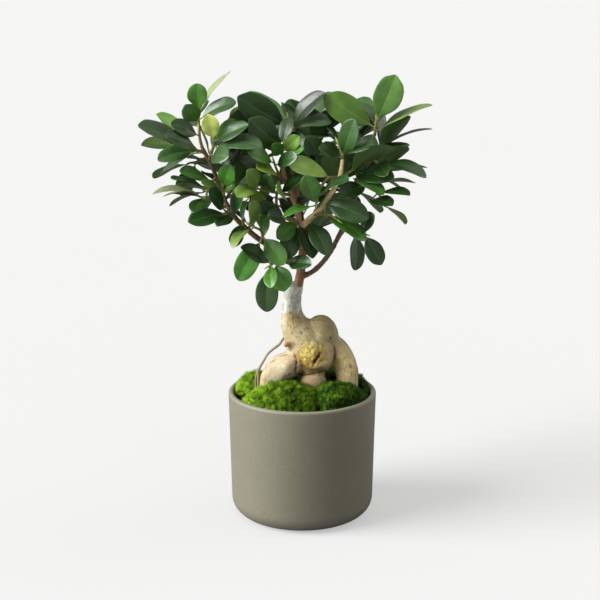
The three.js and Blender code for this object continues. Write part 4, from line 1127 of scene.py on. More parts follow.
# %% The branches' routes
STEM = [
    [-3.9, 199, 0, 3.9], [-3.6, 206, 0, 4.3], [-2, 214, 0, 3.9], [-1, 222, 0, 3.7], [0, 233, 0, 3.4],
    [0.6, 245, 0, 3.2], [-1, 255, 0, 3.1], [-2, 263, 0, 2.6],
]
BRANCHES = [
    # left bough that ends in the far left stem
    [[-1, 223, 0, 3], [-18, 234, -2, 2.7], [-37, 247, -6, 2.4], [-46, 254.5, -8, 2.3],
     [-55, 263, -10, 2.1], [-61, 271, -11, 2], [-66, 281, -12, 1.8], [-72, 298, -12, 1.7],
     [-79, 315, -12, 1.6], [-84, 325, -13, 1.5]],
    # brown stem left of the middle
    [[-1, 256, 0, 2.6], [-3.5, 266, -2, 2.5], [-5, 275, -4, 2.3], [-8.5, 284, -6, 2.2],
     [-13, 294, -8, 2], [-16, 305, -9, 1.8], [-17, 318, -9, 1.4]],
    # upright stem to the top
    [[-2, 258, 0, 2.4], [-4, 276, 5, 2.2], [-7, 298, 9, 1.9], [-10, 322, 9, 1.7], [-11, 341, 8, 1.3]],
    # pale branch to the right
    [[-1, 257, 0, 2.3], [5, 264, -4, 2.3], [11, 269, -8, 2.2], [16, 274, -10, 2.1], [21, 282, -12, 2],
     [27, 291, -14, 1.9], [32, 303, -14, 1.7], [34, 316, -14, 1.4]],
    # low dark branch that climbs to the right stem
    [[-0.5, 214, 0, 2.3], [8, 218, 0, 2.2], [15, 224, 0, 2.1], [23, 234, 1, 2], [30, 247, 3, 2],
     [37, 262, 6, 1.9], [44, 280, 9, 1.8], [51, 303, 10, 1.7], [57, 320, 8, 1.6], [61, 338, 6, 1.3]],
    # branches behind
    [[0, 240, 0, 2.5], [-12, 256, 14, 2.2], [-24, 275, 30, 2], [-34, 292, 42, 1.7], [-40, 308, 48, 1.3]],
    [[0, 248, 0, 2.5], [10, 262, 14, 2.3], [22, 280, 30, 2], [32, 300, 42, 1.7], [38, 316, 48, 1.3]],
    [[-1, 257, 1, 2.3], [-1, 273, 14, 2.1], [0, 290, 26, 1.9], [2, 305, 33, 1.6], [3, 318, 36, 1.3]],
    [[0, 229, 0, 2.2], [3, 239, 14, 2], [4, 250, 30, 1.7], [2, 262, 44, 1.3]],
]
BRANCH_VOXEL = 0.55 * MM
SMOOTHING_LOSS = 0.12


def ringed(route, steps, first_ring):
    """The route of a branch with small swellings at its leaf scars."""
    line = smooth_route(route, steps)
    length = lengths_along(line) / MM
    spacing = 8.5 + 1.5 * np.sin(length * 0.11 + first_ring)
    scar = np.exp(-(((length / spacing + 0.37 * first_ring) % 1 - 0.5) * spacing / 0.9) ** 2)
    line[:, 3] += (SMOOTHING_LOSS + 0.28 * scar) * MM
    return line


limb_routes = [STEM, *BRANCHES]
rough_branches = new_piece("rough_branches", *joined(
    [tube(ringed(route, 14, number), 12) for number, route in enumerate(limb_routes)]
))
branch_points, branch_normals, branch_faces = tidied(rough_branches, BRANCH_VOXEL, 2)
branch_owner, branch_grain = place_on_limbs(branch_points, limb_routes)
branch_pairs = pairs_of(branch_faces)
clear_of_border = 1 - border_of(branch_owner, branch_pairs, 3)
flaky = (0.13 * clear_of_border * noise(branch_grain, np.array([7, 1.4, 1.4]) * MM, 41)
         + 0.12 * clear_of_border * noise(branch_grain, np.array([1.3, 6, 6]) * MM, 42)
         + 0.08 * noise(branch_points, 1.2 * MM, 43))
flaky_points = branch_points + branch_normals * (flaky * MM)[:, None]
branches = new_piece("grafted_branches", flaky_points, branch_faces)
print("fused branches:", len(branch_points), "points")

# %% [markdown]
# The stem is red-brown, the two boughs that rise in the middle are warm brown, the one to the
# right is pale tan, and the others are grey-brown. Wax reaches up the stem's foot. A material
# for each limb would end at a hard line, so the tones are kept on the mesh.

# %% Tones of the branches
RED_BROWN = linear(132, 98, 70)
WARM_BROWN = linear(190, 146, 114)
PALE_TAN = linear(222, 202, 152)
GREY_BROWN = linear(116, 94, 76)
STEM_WAX = linear(200, 194, 178)
WAX_LINE = 206.5
LIMB_TONES = [RED_BROWN, GREY_BROWN, WARM_BROWN, WARM_BROWN, PALE_TAN, GREY_BROWN,
              GREY_BROWN, GREY_BROWN, GREY_BROWN, GREY_BROWN]
tones = np.array(LIMB_TONES)[branch_owner]
tones[:, :3] *= (1 + 0.16 * noise(branch_points, 9 * MM, 44))[:, None]
below_line = WAX_LINE - branch_points[:, 2] / MM + 2 * noise(branch_points, 5 * MM, 45)
waxed = soft_step(below_line, 0, 1.2)[:, None]
tones = tones * (1 - waxed) + np.array(STEM_WAX) * waxed
paint(branches, "bark_tone", tones)
paint(branches, "grain_place", branch_grain)
paint(branches, "fold", folds_of(branches, 8))
paint(branches, "seam", border_of(branch_owner, branch_pairs, 2))
print("tones of the limbs:", len(LIMB_TONES))

# %% [markdown]
# Over its tone the bark has fine flecks along the grain, pale lenticels and shade in its folds.

# %% Branch bark
branch_bark, tree, shader = new_material("branch_bark", Specular_IOR_Level=0.3)
along = attribute(tree, "grain_place", "Vector")
stretched = add(tree, "ShaderNodeVectorMath", {0: along, 1: (0.3, 1, 1)}, operation="MULTIPLY").outputs[0]
tone = attribute(tree, "bark_tone", "Color")
flecks = use(tree, mottle, place=stretched, scale=900.0, contrast=2.2,
             dark=(0.62, 0.6, 0.58, 1), light=(1.3, 1.28, 1.25, 1))
off_seam = math_node(tree, "SUBTRACT", 1.0, attribute(tree, "seam"))
rind = tinted(tree, tone, flecks["Color"], off_seam)
lenticels = use(tree, pits, place=along, scale=700.0, size=0.45, share=0.25)
lenticel_marks = times(tree, lenticels["Mask"], off_seam)
rind = stained(tree, rind, lenticel_marks, 0.55, linear(186, 166, 132))
shaded = use(tree, crevices, color=rind, crevice=linear(48, 32, 22), amount=0.9)
feed(tree, shader, {"Base Color": shaded["Color"]})
feed(tree, shader, {"Roughness": ranged(tree, flecks["Mask"], 0, 1, 0.5, 0.72)})
rind_grain = use(tree, grain, place=stretched, scale=1700.0, sharpness=0.6)
rind_height = times(tree, rind_grain["Height"], off_seam)
feed(tree, shader, {"Normal": bump(tree, rind_height, 0.5, 0.0004)})
dress(branches, "branches", "branch_bark", branch_bark)

# %% [markdown]
# ## Leafy shoots
# A shoot is a twig with four to seven leaves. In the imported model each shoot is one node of
# plain blades. Here it is drawn again from the same numbers: the twig's points (x, z, y, radius),
# then a row for each leaf with x, z of its base, x, z of its tip, its seen width, how far the tip
# lies back, and its bow. A negative width shows the pale underside. The letters are the leaves'
# tones: k nearly black, d dark, s deep green, g mid green, h and l light, m bright, o olive,
# t grey-green, y and b young, p pale.

# %% The shoots in front
SHOOTS = {
    "front_right": (
        [(31, 300, -14, 1.4), (22, 300, -20, 1.2), (14, 288, -24, 1.1), (12, 277, -24, 1)],
        "mggd",
        (25, 301, -12, 313, 15, -12, 0.07), (11, 276, 6, 307, 17, -2, 0.06),
        (12, 277, -16, 267, 6, -14, 0.06), (14, 285, 40, 299, 7, -22, 0.08),
    ),
    "right_tip": (
        [(34, 314, -14, 1.3), (33, 322, -14, 1.1), (30, 330, -14, 0.9)],
        "tdddd",
        (35, 313, 44, 350, 17, -17, 0.06), (15, 320, 3, 335, 16, -12, 0.08),
        (31, 331, 19, 345.5, 4, 14, 0.1), (31, 316, 14, 326, 13, -22, 0.08),
        (33, 320, 52, 326, 10, -26, 0.08),
    ),
    "right_top": (
        [(61, 336, 6, 1.4), (61.5, 344, 5, 1.2), (62, 350, 5, 0.9)],
        "lhdodd",
        (56, 343, 18.5, 370, 25, -8, 0.05), (62, 347, 78, 387, 25, -4, 0.05),
        (62, 345, 84, 370.5, 7, 18, 0.08), (63, 338, 109, 362, 6, 8, 0.06),
        (60, 340, 50, 316, 18, -16, 0.08), (60, 346, 47, 363, 12, 26, 0.08),
    ),
    "right_outer": (
        [(56, 317, 8, 1.3), (61, 315, 4, 1.2), (66, 312, 0, 0.9)],
        "dtdd",
        (60, 317, 90, 329, 10, 20, 0.06), (63, 308, 105.5, 300.5, 10, -6, 0.13),
        (62, 312, 76, 297, 16, -26, 0.08), (58, 316, 40, 322, 16, -22, 0.08),
    ),
    "right_middle": (
        [(49, 297, 10, 1.3), (55, 294, 4, 1.2), (62, 289, 0, 1.1), (68, 283, -2, 0.9)],
        "dgddod",
        (45, 303, 78, 300, 16, -24, 0.07), (43, 300, 66, 287, 10, -30, 0.08),
        (66, 290, 85, 285.5, 7, -30, 0.08), (58, 281, 77, 276, 10, -28, 0.07),
        (70, 276, 88, 260, -5, 18, 0.08), (56, 293, 37, 291, 14, -26, 0.08),
    ),
    "right_low": (
        [(10, 268, -8, 1.5), (15, 269, -14, 1.3), (24, 268, -20, 1.1), (30, 264, -22, 0.9)],
        "dgdd",
        (20, 278, 57, 265, 20, -14, 0.07), (18, 268, 55, 246, 13, -8, 0.06),
        (6, 262, 22, 232.5, 17, -22, 0.07), (27, 266, 52, 272, 13, -26, 0.08),
    ),
    "right_hanging": (
        [(32, 250, 3, 1.4), (38, 256, 0, 1.2), (45, 255, -3, 1.1), (53, 252, -4, 0.9)],
        "dddd",
        (45, 254, 45.5, 219.5, 13, -12, 0.06), (54, 251, 68.5, 224.5, 16, -8, 0.06),
        (50, 254, 62, 268, 13, -26, 0.08), (38, 255, 30, 237, 13, 24, 0.08),
    ),
    "centre_top": (
        [(-10.8, 338, 8, 1.4), (-11, 345, 6, 1.2), (-12, 351, 4, 0.9)],
        "dkdtgd",
        (-15, 344, -54.5, 369, 25, -12, 0.06), (-9, 344, 19, 372, 14, -10, 0.08),
        (-13, 345, -14, 363, 12, 30, 0.08), (-6, 339, 25, 347, 10, -12, 0.14),
        (-14, 349, -43, 372, 6, 22, 0.08), (-11, 340, 2, 322, 16, -26, 0.08),
    ),
    "centre_young": (
        [(-17, 315, -9, 1.4), (-17, 322, -11, 1.2), (-16, 329, -12, 0.9)],
        "dglgd",
        (-17, 327, -45, 350, 22, -14, 0.07), (-17, 320, -29, 332, 12, -16, 0.06),
        (-15, 322, -2, 336, 12, -14, 0.06), (-16, 318, 4, 329, 7, -12, 0.06),
        (-16, 326, -12, 346, 12, 22, 0.08),
    ),
    "centre_middle": (
        [(-14, 297, -8, 1.5), (-18, 301, -14, 1.3), (-22, 308, -18, 1.1), (-24, 314, -20, 0.9)],
        "dgyyd",
        (-20, 303, -54, 315, 13, -12, 0.09), (-23, 313, -46, 322, 12, -22, 0.08),
        (-17, 302, -39, 309, 7, -26, 0.06), (-14, 298, -17, 314, 12, -10, 0.06),
        (-23, 311, -4, 318, 12, -22, 0.08),
    ),
    "centre_left": (
        [(-9, 285, -6, 1.5), (-18, 287, -12, 1.3), (-30, 289, -17, 1.1), (-38, 291, -20, 0.9)],
        "odoodd",
        (-38, 291, -50, 312, 14, -18, 0.07), (-28, 288, -26, 306, 13, -26, 0.08),
        (-38, 290, -56, 284, 12, -28, 0.08), (-18, 288, -38, 296, 12, -30, 0.08),
        (-30, 288, -14, 281, 14, -26, 0.08), (-20, 286, -6, 296, 10, -26, 0.08),
    ),
    "stem_front": (
        [(-2, 262, 0, 1.6), (-7, 262, -10, 1.3), (-14, 265, -18, 1.1), (-20, 268, -22, 0.9)],
        "ddgddd",
        (-12, 268, -36, 277, 14, -14, 0.07), (-16, 264, -36, 268, 13, -22, 0.08),
        (-4, 259, -19, 250, 16, -20, 0.07), (-3, 258, -14, 231, 18, -22, 0.07),
        (-2, 260, 9, 230, 14, -24, 0.07), (-18, 266, -2, 282, 12, -20, 0.07),
    ),
    "left_low": (
        [(-35, 246, -6, 1.6), (-34, 250, -12, 1.4), (-36, 255, -18, 1.1), (-42, 258, -20, 0.9)],
        "yggoog",
        (-36, 252, -40, 284, 13, -16, 0.06), (-37, 248, -55.5, 210.5, 20, -10, 0.06),
        (-33, 250, -15, 225, 18, -14, 0.06), (-41, 258, -46, 287, 12, -22, 0.07),
        (-42, 257, -60, 239, 7, -20, 0.14), (-34, 251, -28, 266, 10, -24, 0.08),
    ),
    "low_front": (
        [(-3, 221, 0, 1.6), (-12, 226, -8, 1.4), (-21, 228, -14, 1.2), (-28, 224, -18, 0.9)],
        "tggdd",
        (-28, 221, -31, 182.5, 20, -8, 0.06), (-22, 225, -15, 201, 19, -12, 0.07),
        (-27, 226, -26.5, 204, 12, -22, 0.07), (-14, 227, 8, 225, 13, -22, 0.08),
        (-26, 225, -46, 236, 13, -24, 0.08),
    ),
    "left_middle": (
        [(-73, 301, -12, 1.5), (-77, 296, -14, 1.3), (-81, 289, -16, 1.1), (-82, 283, -17, 0.9)],
        "dppgd",
        (-80, 291, -112, 300, 4, -16, 0.05), (-82, 284, -128, 286, 4, -6, 0.13),
        (-82, 281, -119, 284, 5, 10, 0.12), (-76, 297, -104, 305, 10, -24, 0.06),
        (-82, 282, -93, 270, 12, -28, 0.08),
    ),
    "left_lower": (
        [(-59, 268, -11, 1.5), (-63, 269, -15, 1.3), (-66, 272, -18, 0.9)],
        "dddd",
        (-64, 271, -98, 262, 15, -16, 0.06), (-60, 266, -75, 256, 12, -26, 0.08),
        (-66, 273, -80, 290, 12, -24, 0.07), (-62, 270, -50, 284, 12, -24, 0.08),
    ),
    "left_pair": (
        [(-67, 283, -12, 1.4), (-67, 288, -16, 1.2), (-68, 293, -19, 0.9)],
        "llgd",
        (-67, 288, -90, 297.5, 7, -14, 0.06), (-67, 288, -57, 299, 7, -14, 0.06),
        (-68, 292, -58, 319, 15, -12, 0.07), (-68, 292, -47, 322, 13, -20, 0.06),
    ),
    "left_inner": (
        [(-79, 315, -12, 1.5), (-77, 321, -15, 1.3), (-75, 328, -18, 1.1), (-75, 333, -19, 0.9)],
        "tdgtb",
        (-77, 327, -29, 326, 13, -12, 0.12), (-76, 331, -45, 345, 12, -16, 0.06),
        (-77, 332, -55, 349, 13, 12, 0.08), (-77, 320, -62, 318, 16, -32, 0.08),
        (-75, 332, -80, 354, 15, -10, 0.05),
    ),
    "left_outer": (
        [(-82, 321, -13, 1.5), (-86, 323, -15, 1.3), (-91, 324, -17, 1.1), (-96, 326, -18, 0.9)],
        "dtolddd",
        (-90, 325, -144.5, 347, 13, -10, 0.06), (-90, 324, -122.5, 315, 13, -20, 0.08),
        (-95, 325, -136, 327.5, -10, 14, 0.06), (-90, 324, -123, 354, -12, 20, 0.06),
        (-86, 324, -119, 337, 12, -26, 0.07), (-88, 322, -120.5, 303, 7, 16, 0.08),
        (-85, 321, -118, 312, 10, 26, 0.08),
    ),
    "left_top": (
        [(-84, 324, -13, 1.5), (-86.5, 334, -13, 1.3), (-87, 347, -12, 1.1), (-87, 358, -12, 0.9)],
        "gpgdddd",
        (-87, 357, -88, 380, 17, -2, 0.05), (-86, 356, -59, 391, 4, 6, 0.05),
        (-87, 347, -99, 364, 16, -12, 0.07), (-86, 350, -55.5, 364.5, 12, -8, 0.1),
        (-86, 336, -111, 346, 13, -20, 0.07), (-87, 344, -98, 345, 7, 26, 0.08),
        (-86, 353, -82, 366, 10, 22, 0.08),
    ),
    "inner_left": (
        [(-22, 272, 28, 1.4), (-22, 284, 20, 1.2), (-20, 296, 14, 0.9)],
        "gdgd",
        (-21, 291, -50, 316, 19, -4, 0.06), (-22, 284, -46, 276, 17, -6, 0.07),
        (-21, 292, -1, 317, 19, 6, 0.06), (-22, 283, -1, 270, 17, -4, 0.07),
    ),
    "inner_right": (
        [(21, 279, 29, 1.4), (26, 290, 20, 1.2), (28, 302, 16, 0.9)],
        "dgdg",
        (27, 298, 3, 326, 19, 4, 0.06), (27, 297, 51, 322, 18, 4, 0.06),
        (26, 288, 50, 274, 17, -4, 0.07), (26, 290, 3, 285, 16, -6, 0.07),
    ),
    "left_tuft": (
        [(-50, 258, -9, 1.5), (-51, 266, -14, 1.3), (-49, 276, -18, 0.9)],
        "dggd",
        (-50, 262, -59, 240, 12, -20, 0.08), (-50, 270, -61, 283, 13, -26, 0.08),
        (-49, 275, -44, 300, 13, -18, 0.07), (-51, 268, -36, 262, 13, -24, 0.08),
    ),
}
print("drawn shoots:", len(SHOOTS))

# %% [markdown]
# The shoots behind follow a rule instead: each leaf stands at the golden angle from the last, as
# on a real twig. So a row says only how many leaves there are, how long they are in millimetres
# and where the twig runs. Copies of one shoot would be quicker, but would look alike.

# %% The shoots behind
RULED_SHOOTS = {
    "back_left_tip": (5, 44, [(-39, 305, 47, 1.2), (-44, 318, 54, 1.1), (-47, 332, 58, 0.9)]),
    "back_left": (5, 42, [(-29, 284, 36, 1.3), (-41, 283, 46, 1.1), (-54, 285, 54, 0.9)]),
    "back_right_tip": (5, 44, [(37, 313, 47, 1.2), (42, 326, 54, 1.1), (45, 338, 58, 0.9)]),
    "back_right": (5, 42, [(27, 290, 36, 1.3), (39, 290, 46, 1.1), (52, 293, 54, 0.9)]),
    "back_top": (5, 44, [(3, 315, 36, 1.2), (3, 325, 42, 1.1), (2, 336, 46, 0.9)]),
    "back_middle": (5, 44, [(0, 288, 25, 1.3), (0, 294, 40, 1.1), (1, 302, 54, 0.9)]),
    "back_low": (5, 44, [(2, 259, 42, 1.2), (0, 268, 54, 1.1), (-2, 279, 62, 0.9)]),
    "top_right": (5, 42, [(-7, 300, 9, 1.4), (4, 316, 12, 1.2), (16, 334, 14, 0.9)]),
    "back_outer_left": (5, 42, [(-74, 304, -12, 1.4), (-76, 312, 0, 1.2), (-78, 322, 14, 0.9)]),
    "back_outer_right": (5, 42, [(54, 311, 9, 1.4), (62, 318, 20, 1.2), (68, 328, 28, 0.9)]),
    "deep_left": (5, 46, [(-66, 281, -12, 1.3), (-60, 290, -2, 1.1), (-54, 300, 8, 0.9)]),
    "deep_left_high": (5, 46, [(-77, 310, -12, 1.3), (-67, 318, -3, 1.1), (-58, 328, 5, 0.9)]),
    "deep_left_low": (5, 44, [(-46, 254.5, -8, 1.3), (-44, 264, 3, 1.1), (-42, 276, 12, 0.9)]),
    "deep_centre_high": (5, 46, [(-9, 312, 9, 1.3), (-20, 324, 12, 1.1), (-32, 336, 14, 0.9)]),
    "deep_right": (5, 46, [(31, 301, -14, 1.3), (40, 305, -5, 1.1), (45, 312, 2, 0.9)]),
    "deep_right_low": (5, 44, [(44, 280, 9, 1.3), (36, 286, 4, 1.1), (27, 292, 1, 0.9)]),
    "deep_right_high": (5, 46, [(57, 320, 8, 1.3), (47, 328, 11, 1.1), (38, 338, 13, 0.9)]),
    "deep_low": (5, 44, [(0.6, 243, 0, 1.3), (8, 252, 10, 1.1), (14, 263, 16, 0.9)]),
    "side_left": (6, 42, [(-80.5, 318, -12, 1.3), (-89, 314, 2, 1.1), (-95, 313, 12, 0.9)]),
    "side_left_low": (6, 38, [(-69, 290, -12, 1.3), (-76, 288, 0, 1.1), (-82, 289, 9, 0.9)]),
    "side_right": (6, 40, [(50.5, 301, 10, 1.3), (60, 302, 15, 1.1), (69, 305, 18, 0.9)]),
}
print("ruled shoots:", len(RULED_SHOOTS))

# %% [markdown]
# Either way a leaf is a foot on the twig, a neck where the blade starts, a tip, an upper side
# and a width. A leaf that shows narrower than its kind allows must be turned away from the eye,
# and that gives its upper side.

# %% Leaves as seen from the front
PETIOLE_SHARE = 0.1
LEAF_SLIMNESS = 0.53
WIDENED = 0.98
NEAR_THE_TWIG = 6
LEAFLESS_START = 0.4
EYE_POINT = Vector(EYE)


def square_to(vector, axis):
    """The part of a vector that stands square to an axis, made one long."""
    return (vector - axis * vector.dot(axis)).normalized()


def nearest_on_twig(twig, x, z):
    """The nearest place of a twig in the front view, with the twig's depth there."""
    best = None
    for number, ((x0, z0, y0, _), (x1, z1, y1, _)) in enumerate(zip(twig, twig[1:])):
        run = (x1 - x0) ** 2 + (z1 - z0) ** 2
        share = ((x - x0) * (x1 - x0) + (z - z0) * (z1 - z0)) / run
        share = min(max(share, 0 if number else LEAFLESS_START), 1)
        point = (x0 + (x1 - x0) * share, z0 + (z1 - z0) * share, y0 + (y1 - y0) * share)
        distance = math.hypot(point[0] - x, point[1] - z)
        if best is None or distance < best[0]:
            best = (distance, point)
    return best


def leaf_as_seen(twig, row):
    """A leaf that is given by its outline in the front view."""
    base_x, base_z, tip_x, tip_z, seen_width, back, bow = row
    distance, (x, z, y) = nearest_on_twig(twig, base_x, base_z)
    foot = Vector(seen(x, z, y))
    tip = Vector(seen(tip_x, tip_z, y + back))
    neck = foot.lerp(tip, PETIOLE_SHARE)
    if distance > NEAR_THE_TWIG:
        neck = Vector(seen(base_x, base_z, y + 0.1 * back))
    axis = (tip - neck).normalized()
    width = max(abs(seen_width) * MM, LEAF_SLIMNESS * (tip - neck).length)
    to_eye = square_to((EYE_POINT - neck).normalized(), axis)
    upward = to_eye.cross(axis)
    if upward.z < 0:
        upward.negate()
    facing = seen_width * MM / width
    upper = (to_eye * facing + upward * math.sqrt(1 - facing * facing)).normalized()
    return {"foot": foot, "neck": neck, "tip": tip, "upper": upper, "width": WIDENED * width, "bow": bow}


example_twig, _, example_row, *_ = SHOOTS["front_right"]
example = leaf_as_seen(example_twig, example_row)
print("first leaf:", round((example["tip"] - example["neck"]).length / MM, 1), "mm long")

# %% [markdown]
# Along a ruled twig the leaves stand out widely at its foot and more steeply at its tip, and all
# turn their upper sides to the sky.

# %% Leaves by rule
GOLDEN_ANGLE = math.radians(137.5)
BARE_SHARE = 0.3
SPREAD_AT_FOOT = 72
SPREAD_LOSS = 34
LENGTH_SPREAD = 0.12
WIDENED_BEHIND = 1.2
RULED_BOW = 0.07
LIFT = 0.1
FACING_OUT = 0.4
UPRIGHT = Vector((0, 0, 1))


def leaf_by_rule(twig, index, count, length):
    """One of the leaves that wind up a twig at the golden angle."""
    share = BARE_SHARE + (1 - BARE_SHARE) * index / (count - 1)
    place = share * (len(twig) - 1)
    knot = min(int(place), len(twig) - 2)
    start, end = Vector(seen(*twig[knot][:3])), Vector(seen(*twig[knot + 1][:3]))
    foot = start.lerp(end, place - knot)
    along = (end - start).normalized()
    side = UPRIGHT.cross(along).normalized()
    turn = index * GOLDEN_ANGLE
    out = side * math.cos(turn) + along.cross(side) * math.sin(turn)
    spread = math.radians(SPREAD_AT_FOOT - SPREAD_LOSS * share)
    axis = (along * math.cos(spread) + out * math.sin(spread) + UPRIGHT * LIFT).normalized()
    reach = length * MM * (1 + LENGTH_SPREAD * math.sin(2.4 * index + count))
    tip = foot + axis * reach
    upper = square_to(UPRIGHT + along * FACING_OUT, axis)
    width = LEAF_SLIMNESS * reach * (1 - PETIOLE_SHARE)
    return {"foot": foot, "neck": foot.lerp(tip, PETIOLE_SHARE), "tip": tip, "upper": upper,
            "width": WIDENED_BEHIND * width, "bow": RULED_BOW}


print("leaves by rule:", sum(count for count, _, _ in RULED_SHOOTS.values()))

# %% [markdown]
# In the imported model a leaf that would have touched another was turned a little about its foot,
# or left out. The blades here have to lie in the same places, so each leaf tries the same small
# turns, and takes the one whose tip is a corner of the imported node.

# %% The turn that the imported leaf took
LEAF_TURNS = [
    (0, 0), (7, 0), (-7, 0), (14, 0), (-14, 0), (0, 5), (0, -5), (9, 6), (9, -6), (-9, 6), (-9, -6),
    (21, 0), (-21, 0), (16, 9), (16, -9), (-16, 9), (-16, -9), (28, 0), (-28, 0),
    (24, 14), (24, -14), (-24, 14), (-24, -14), (36, 0), (-36, 0),
]
SAME_PLACE = 0.06 * MM


def turned_leaf(leaf, out_degrees, in_degrees):
    """The leaf turned about its foot: out of the picture first, then in its plane."""
    foot = leaf["foot"]
    sight = (foot - EYE_POINT).normalized()
    hinge = sight.cross((leaf["tip"] - foot).normalized()).normalized()
    turn = Quaternion(sight, math.radians(in_degrees)) @ Quaternion(hinge, math.radians(out_degrees))
    moved = dict(leaf, upper=turn @ leaf["upper"])
    for end in ("neck", "tip"):
        moved[end] = turn @ (leaf[end] - foot) + foot
    return moved


def as_packed(leaf, corners):
    """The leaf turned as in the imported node, or nothing where the node has no such leaf."""
    for out_degrees, in_degrees in LEAF_TURNS:
        moved = turned_leaf(leaf, out_degrees, in_degrees)
        if np.linalg.norm(corners - np.array(moved["tip"]), axis=1).min() < SAME_PLACE:
            return moved
    return None


print("turns that a leaf tries:", len(LEAF_TURNS))

# %% [markdown]
# ## One leaf
# A fig's leaf is thick and leathery. Its blade is a closed thin solid on a grid: widest past the
# middle, with a wedge-shaped base, a round end with a short point, a shallow fold along the
# midrib, edges that curl down a little and a slow wave along them. A flat card with a picture
# would be lighter, but it has no edge and no curve to catch the light.

# %% The grid of a blade
ACROSS = np.array([-1, -0.93, -0.76, -0.52, -0.28, -0.08, 0, 0.08, 0.28, 0.52, 0.76, 0.93, 1])
COLUMNS = len(ACROSS)
ROWS = 23
SHEET = ROWS * COLUMNS


def grid_faces():
    """The faces of a blade: an upper and a lower sheet, the edges between them and the tip."""
    faces = []
    for row in range(ROWS - 1):
        for column in range(COLUMNS - 1):
            a = row * COLUMNS + column
            b = a + SHEET
            faces.append((a, a + 1, a + 1 + COLUMNS, a + COLUMNS))
            faces.append((b, b + COLUMNS, b + 1 + COLUMNS, b + 1))
        left, right = row * COLUMNS, (row + 2) * COLUMNS - 1
        for a, b in ((left, left + COLUMNS), (right, right - COLUMNS)):
            faces.append((a, b, b + SHEET, a + SHEET))
    last, end = SHEET - COLUMNS, 2 * SHEET
    for column in range(COLUMNS - 1):
        a = last + column
        faces.append((a, a + 1, end))
        faces.append((a + 1 + SHEET, a + SHEET, end))
        faces.append((column + 1, column, column + SHEET, column + 1 + SHEET))
    faces.append((last, end, last + SHEET))
    faces.append((SHEET - 1, 2 * SHEET - 1, end))
    return faces


BLADE_FACES = grid_faces()
print("a blade has", len(BLADE_FACES), "faces")

# %% [markdown]
# The grid's points follow the leaf's outline and bow, and each blade has a wave, sweep, twist
# and tip of its own. The marks tell the finish where on the leaf a point lies.

# %% Blade
LEAF_THICKNESS = 0.42 * MM
LEAF_FOLD = 0.2
MIDRIB_WIDTH = 0.9 * MM
MIDRIB_DIP = 0.16 * MM
MIDRIB_RIDGE = 0.5 * MM
STALK_RADIUS = 0.72 * MM


def blade_reach(along, sharpness):
    """The blade's half width, as a share of its widest, at a share of its length."""
    roundness = 0.95 - 0.35 * soft_step(along, 0.2, 0.8)
    reach = (1 - np.abs(2 * along ** 1.15 - 1) ** 2.3) ** roundness
    return reach * (1 - sharpness * soft_step(along, 0.86, 1.0))


def blade_skin(leaf, chance):
    """Points, faces and marks of one blade."""
    neck, tip, upper = (np.array(leaf[name]) for name in ("neck", "tip", "upper"))
    axis = tip - neck
    length = np.linalg.norm(axis)
    axis /= length
    side = np.cross(axis, upper)
    wave = chance.uniform(0, 2 * np.pi)
    sweep = chance.uniform(-0.025, 0.025)
    twist = chance.uniform(-0.16, 0.16)
    sharpness = chance.uniform(0.0, 0.32)
    ripple = chance.uniform(0.2, 0.7) * MM
    even = np.linspace(0, 1, ROWS + 1)[:-1]
    along = (even + 3 * np.sin(even * np.pi / 2)) / 4
    reach = np.maximum(blade_reach(along, sharpness) * leaf["width"] / 2, STALK_RADIUS * 0.5)
    rise = leaf["bow"] * length * 4 * along * (1 - along)
    centre = neck + axis * (along * length)[:, None] + upper * rise[:, None]
    centre = centre + side * (sweep * length * np.sin(np.pi * along))[:, None]
    turn = (twist * (along - 0.4))[:, None]
    row_side = side * np.cos(turn) + upper * np.sin(turn)
    row_upper = upper * np.cos(turn) - side * np.sin(turn)
    u = ACROSS[None, :]
    lift = LEAF_FOLD * reach[:, None] * (np.sqrt(u ** 2 + 0.02) - 0.14 - 0.3 * np.abs(u) ** 4)
    lift = lift + ripple * np.abs(u) ** 2 * np.sin(9 * along[:, None] + wave + 1.3 * np.sign(u))
    half = LEAF_THICKNESS / 2 * (1 - 0.75 * np.abs(u) ** 6) * np.ones((ROWS, 1))
    midrib = np.exp(-((u * reach[:, None] / MIDRIB_WIDTH) ** 2)) * (1 - along[:, None]) ** 0.6
    top = lift + half - MIDRIB_DIP * midrib
    low = lift - half - MIDRIB_RIDGE * midrib
    flat = centre[:, None] + row_side[:, None] * (u * reach[:, None])[:, :, None]
    points = [flat + row_upper[:, None] * sheet[:, :, None] for sheet in (top, low)]
    points = np.vstack([sheet.reshape(-1, 3) for sheet in points] + [tip[None]])
    share = np.concatenate([(0.5 + 0.5 * u * (reach / reach.max())[:, None]).ravel()] * 2 + [[0.5]])
    marks = {
        "across": share,
        "along": np.concatenate([np.repeat(along, COLUMNS)] * 2 + [[1]]),
        "under": np.concatenate([np.zeros(SHEET), np.ones(SHEET), [0.5]]),
        "edge": np.concatenate([np.tile(np.abs(ACROSS) ** 10, ROWS)] * 2 + [[1]]),
        "stalk": np.concatenate([np.repeat(soft_step(0.09 - along, 0, 0.09), COLUMNS)] * 2 + [[0]]),
    }
    return points, BLADE_FACES, marks


test_points, _, test_marks = blade_skin(example, np.random.default_rng(0))
print("one blade:", len(test_points), "points, with marks", list(test_marks))

# %% [markdown]
# The stalk is a thin tube that sags a little and runs on into the blade as its midrib.

# %% Stalk
STALK_SIDES = 8


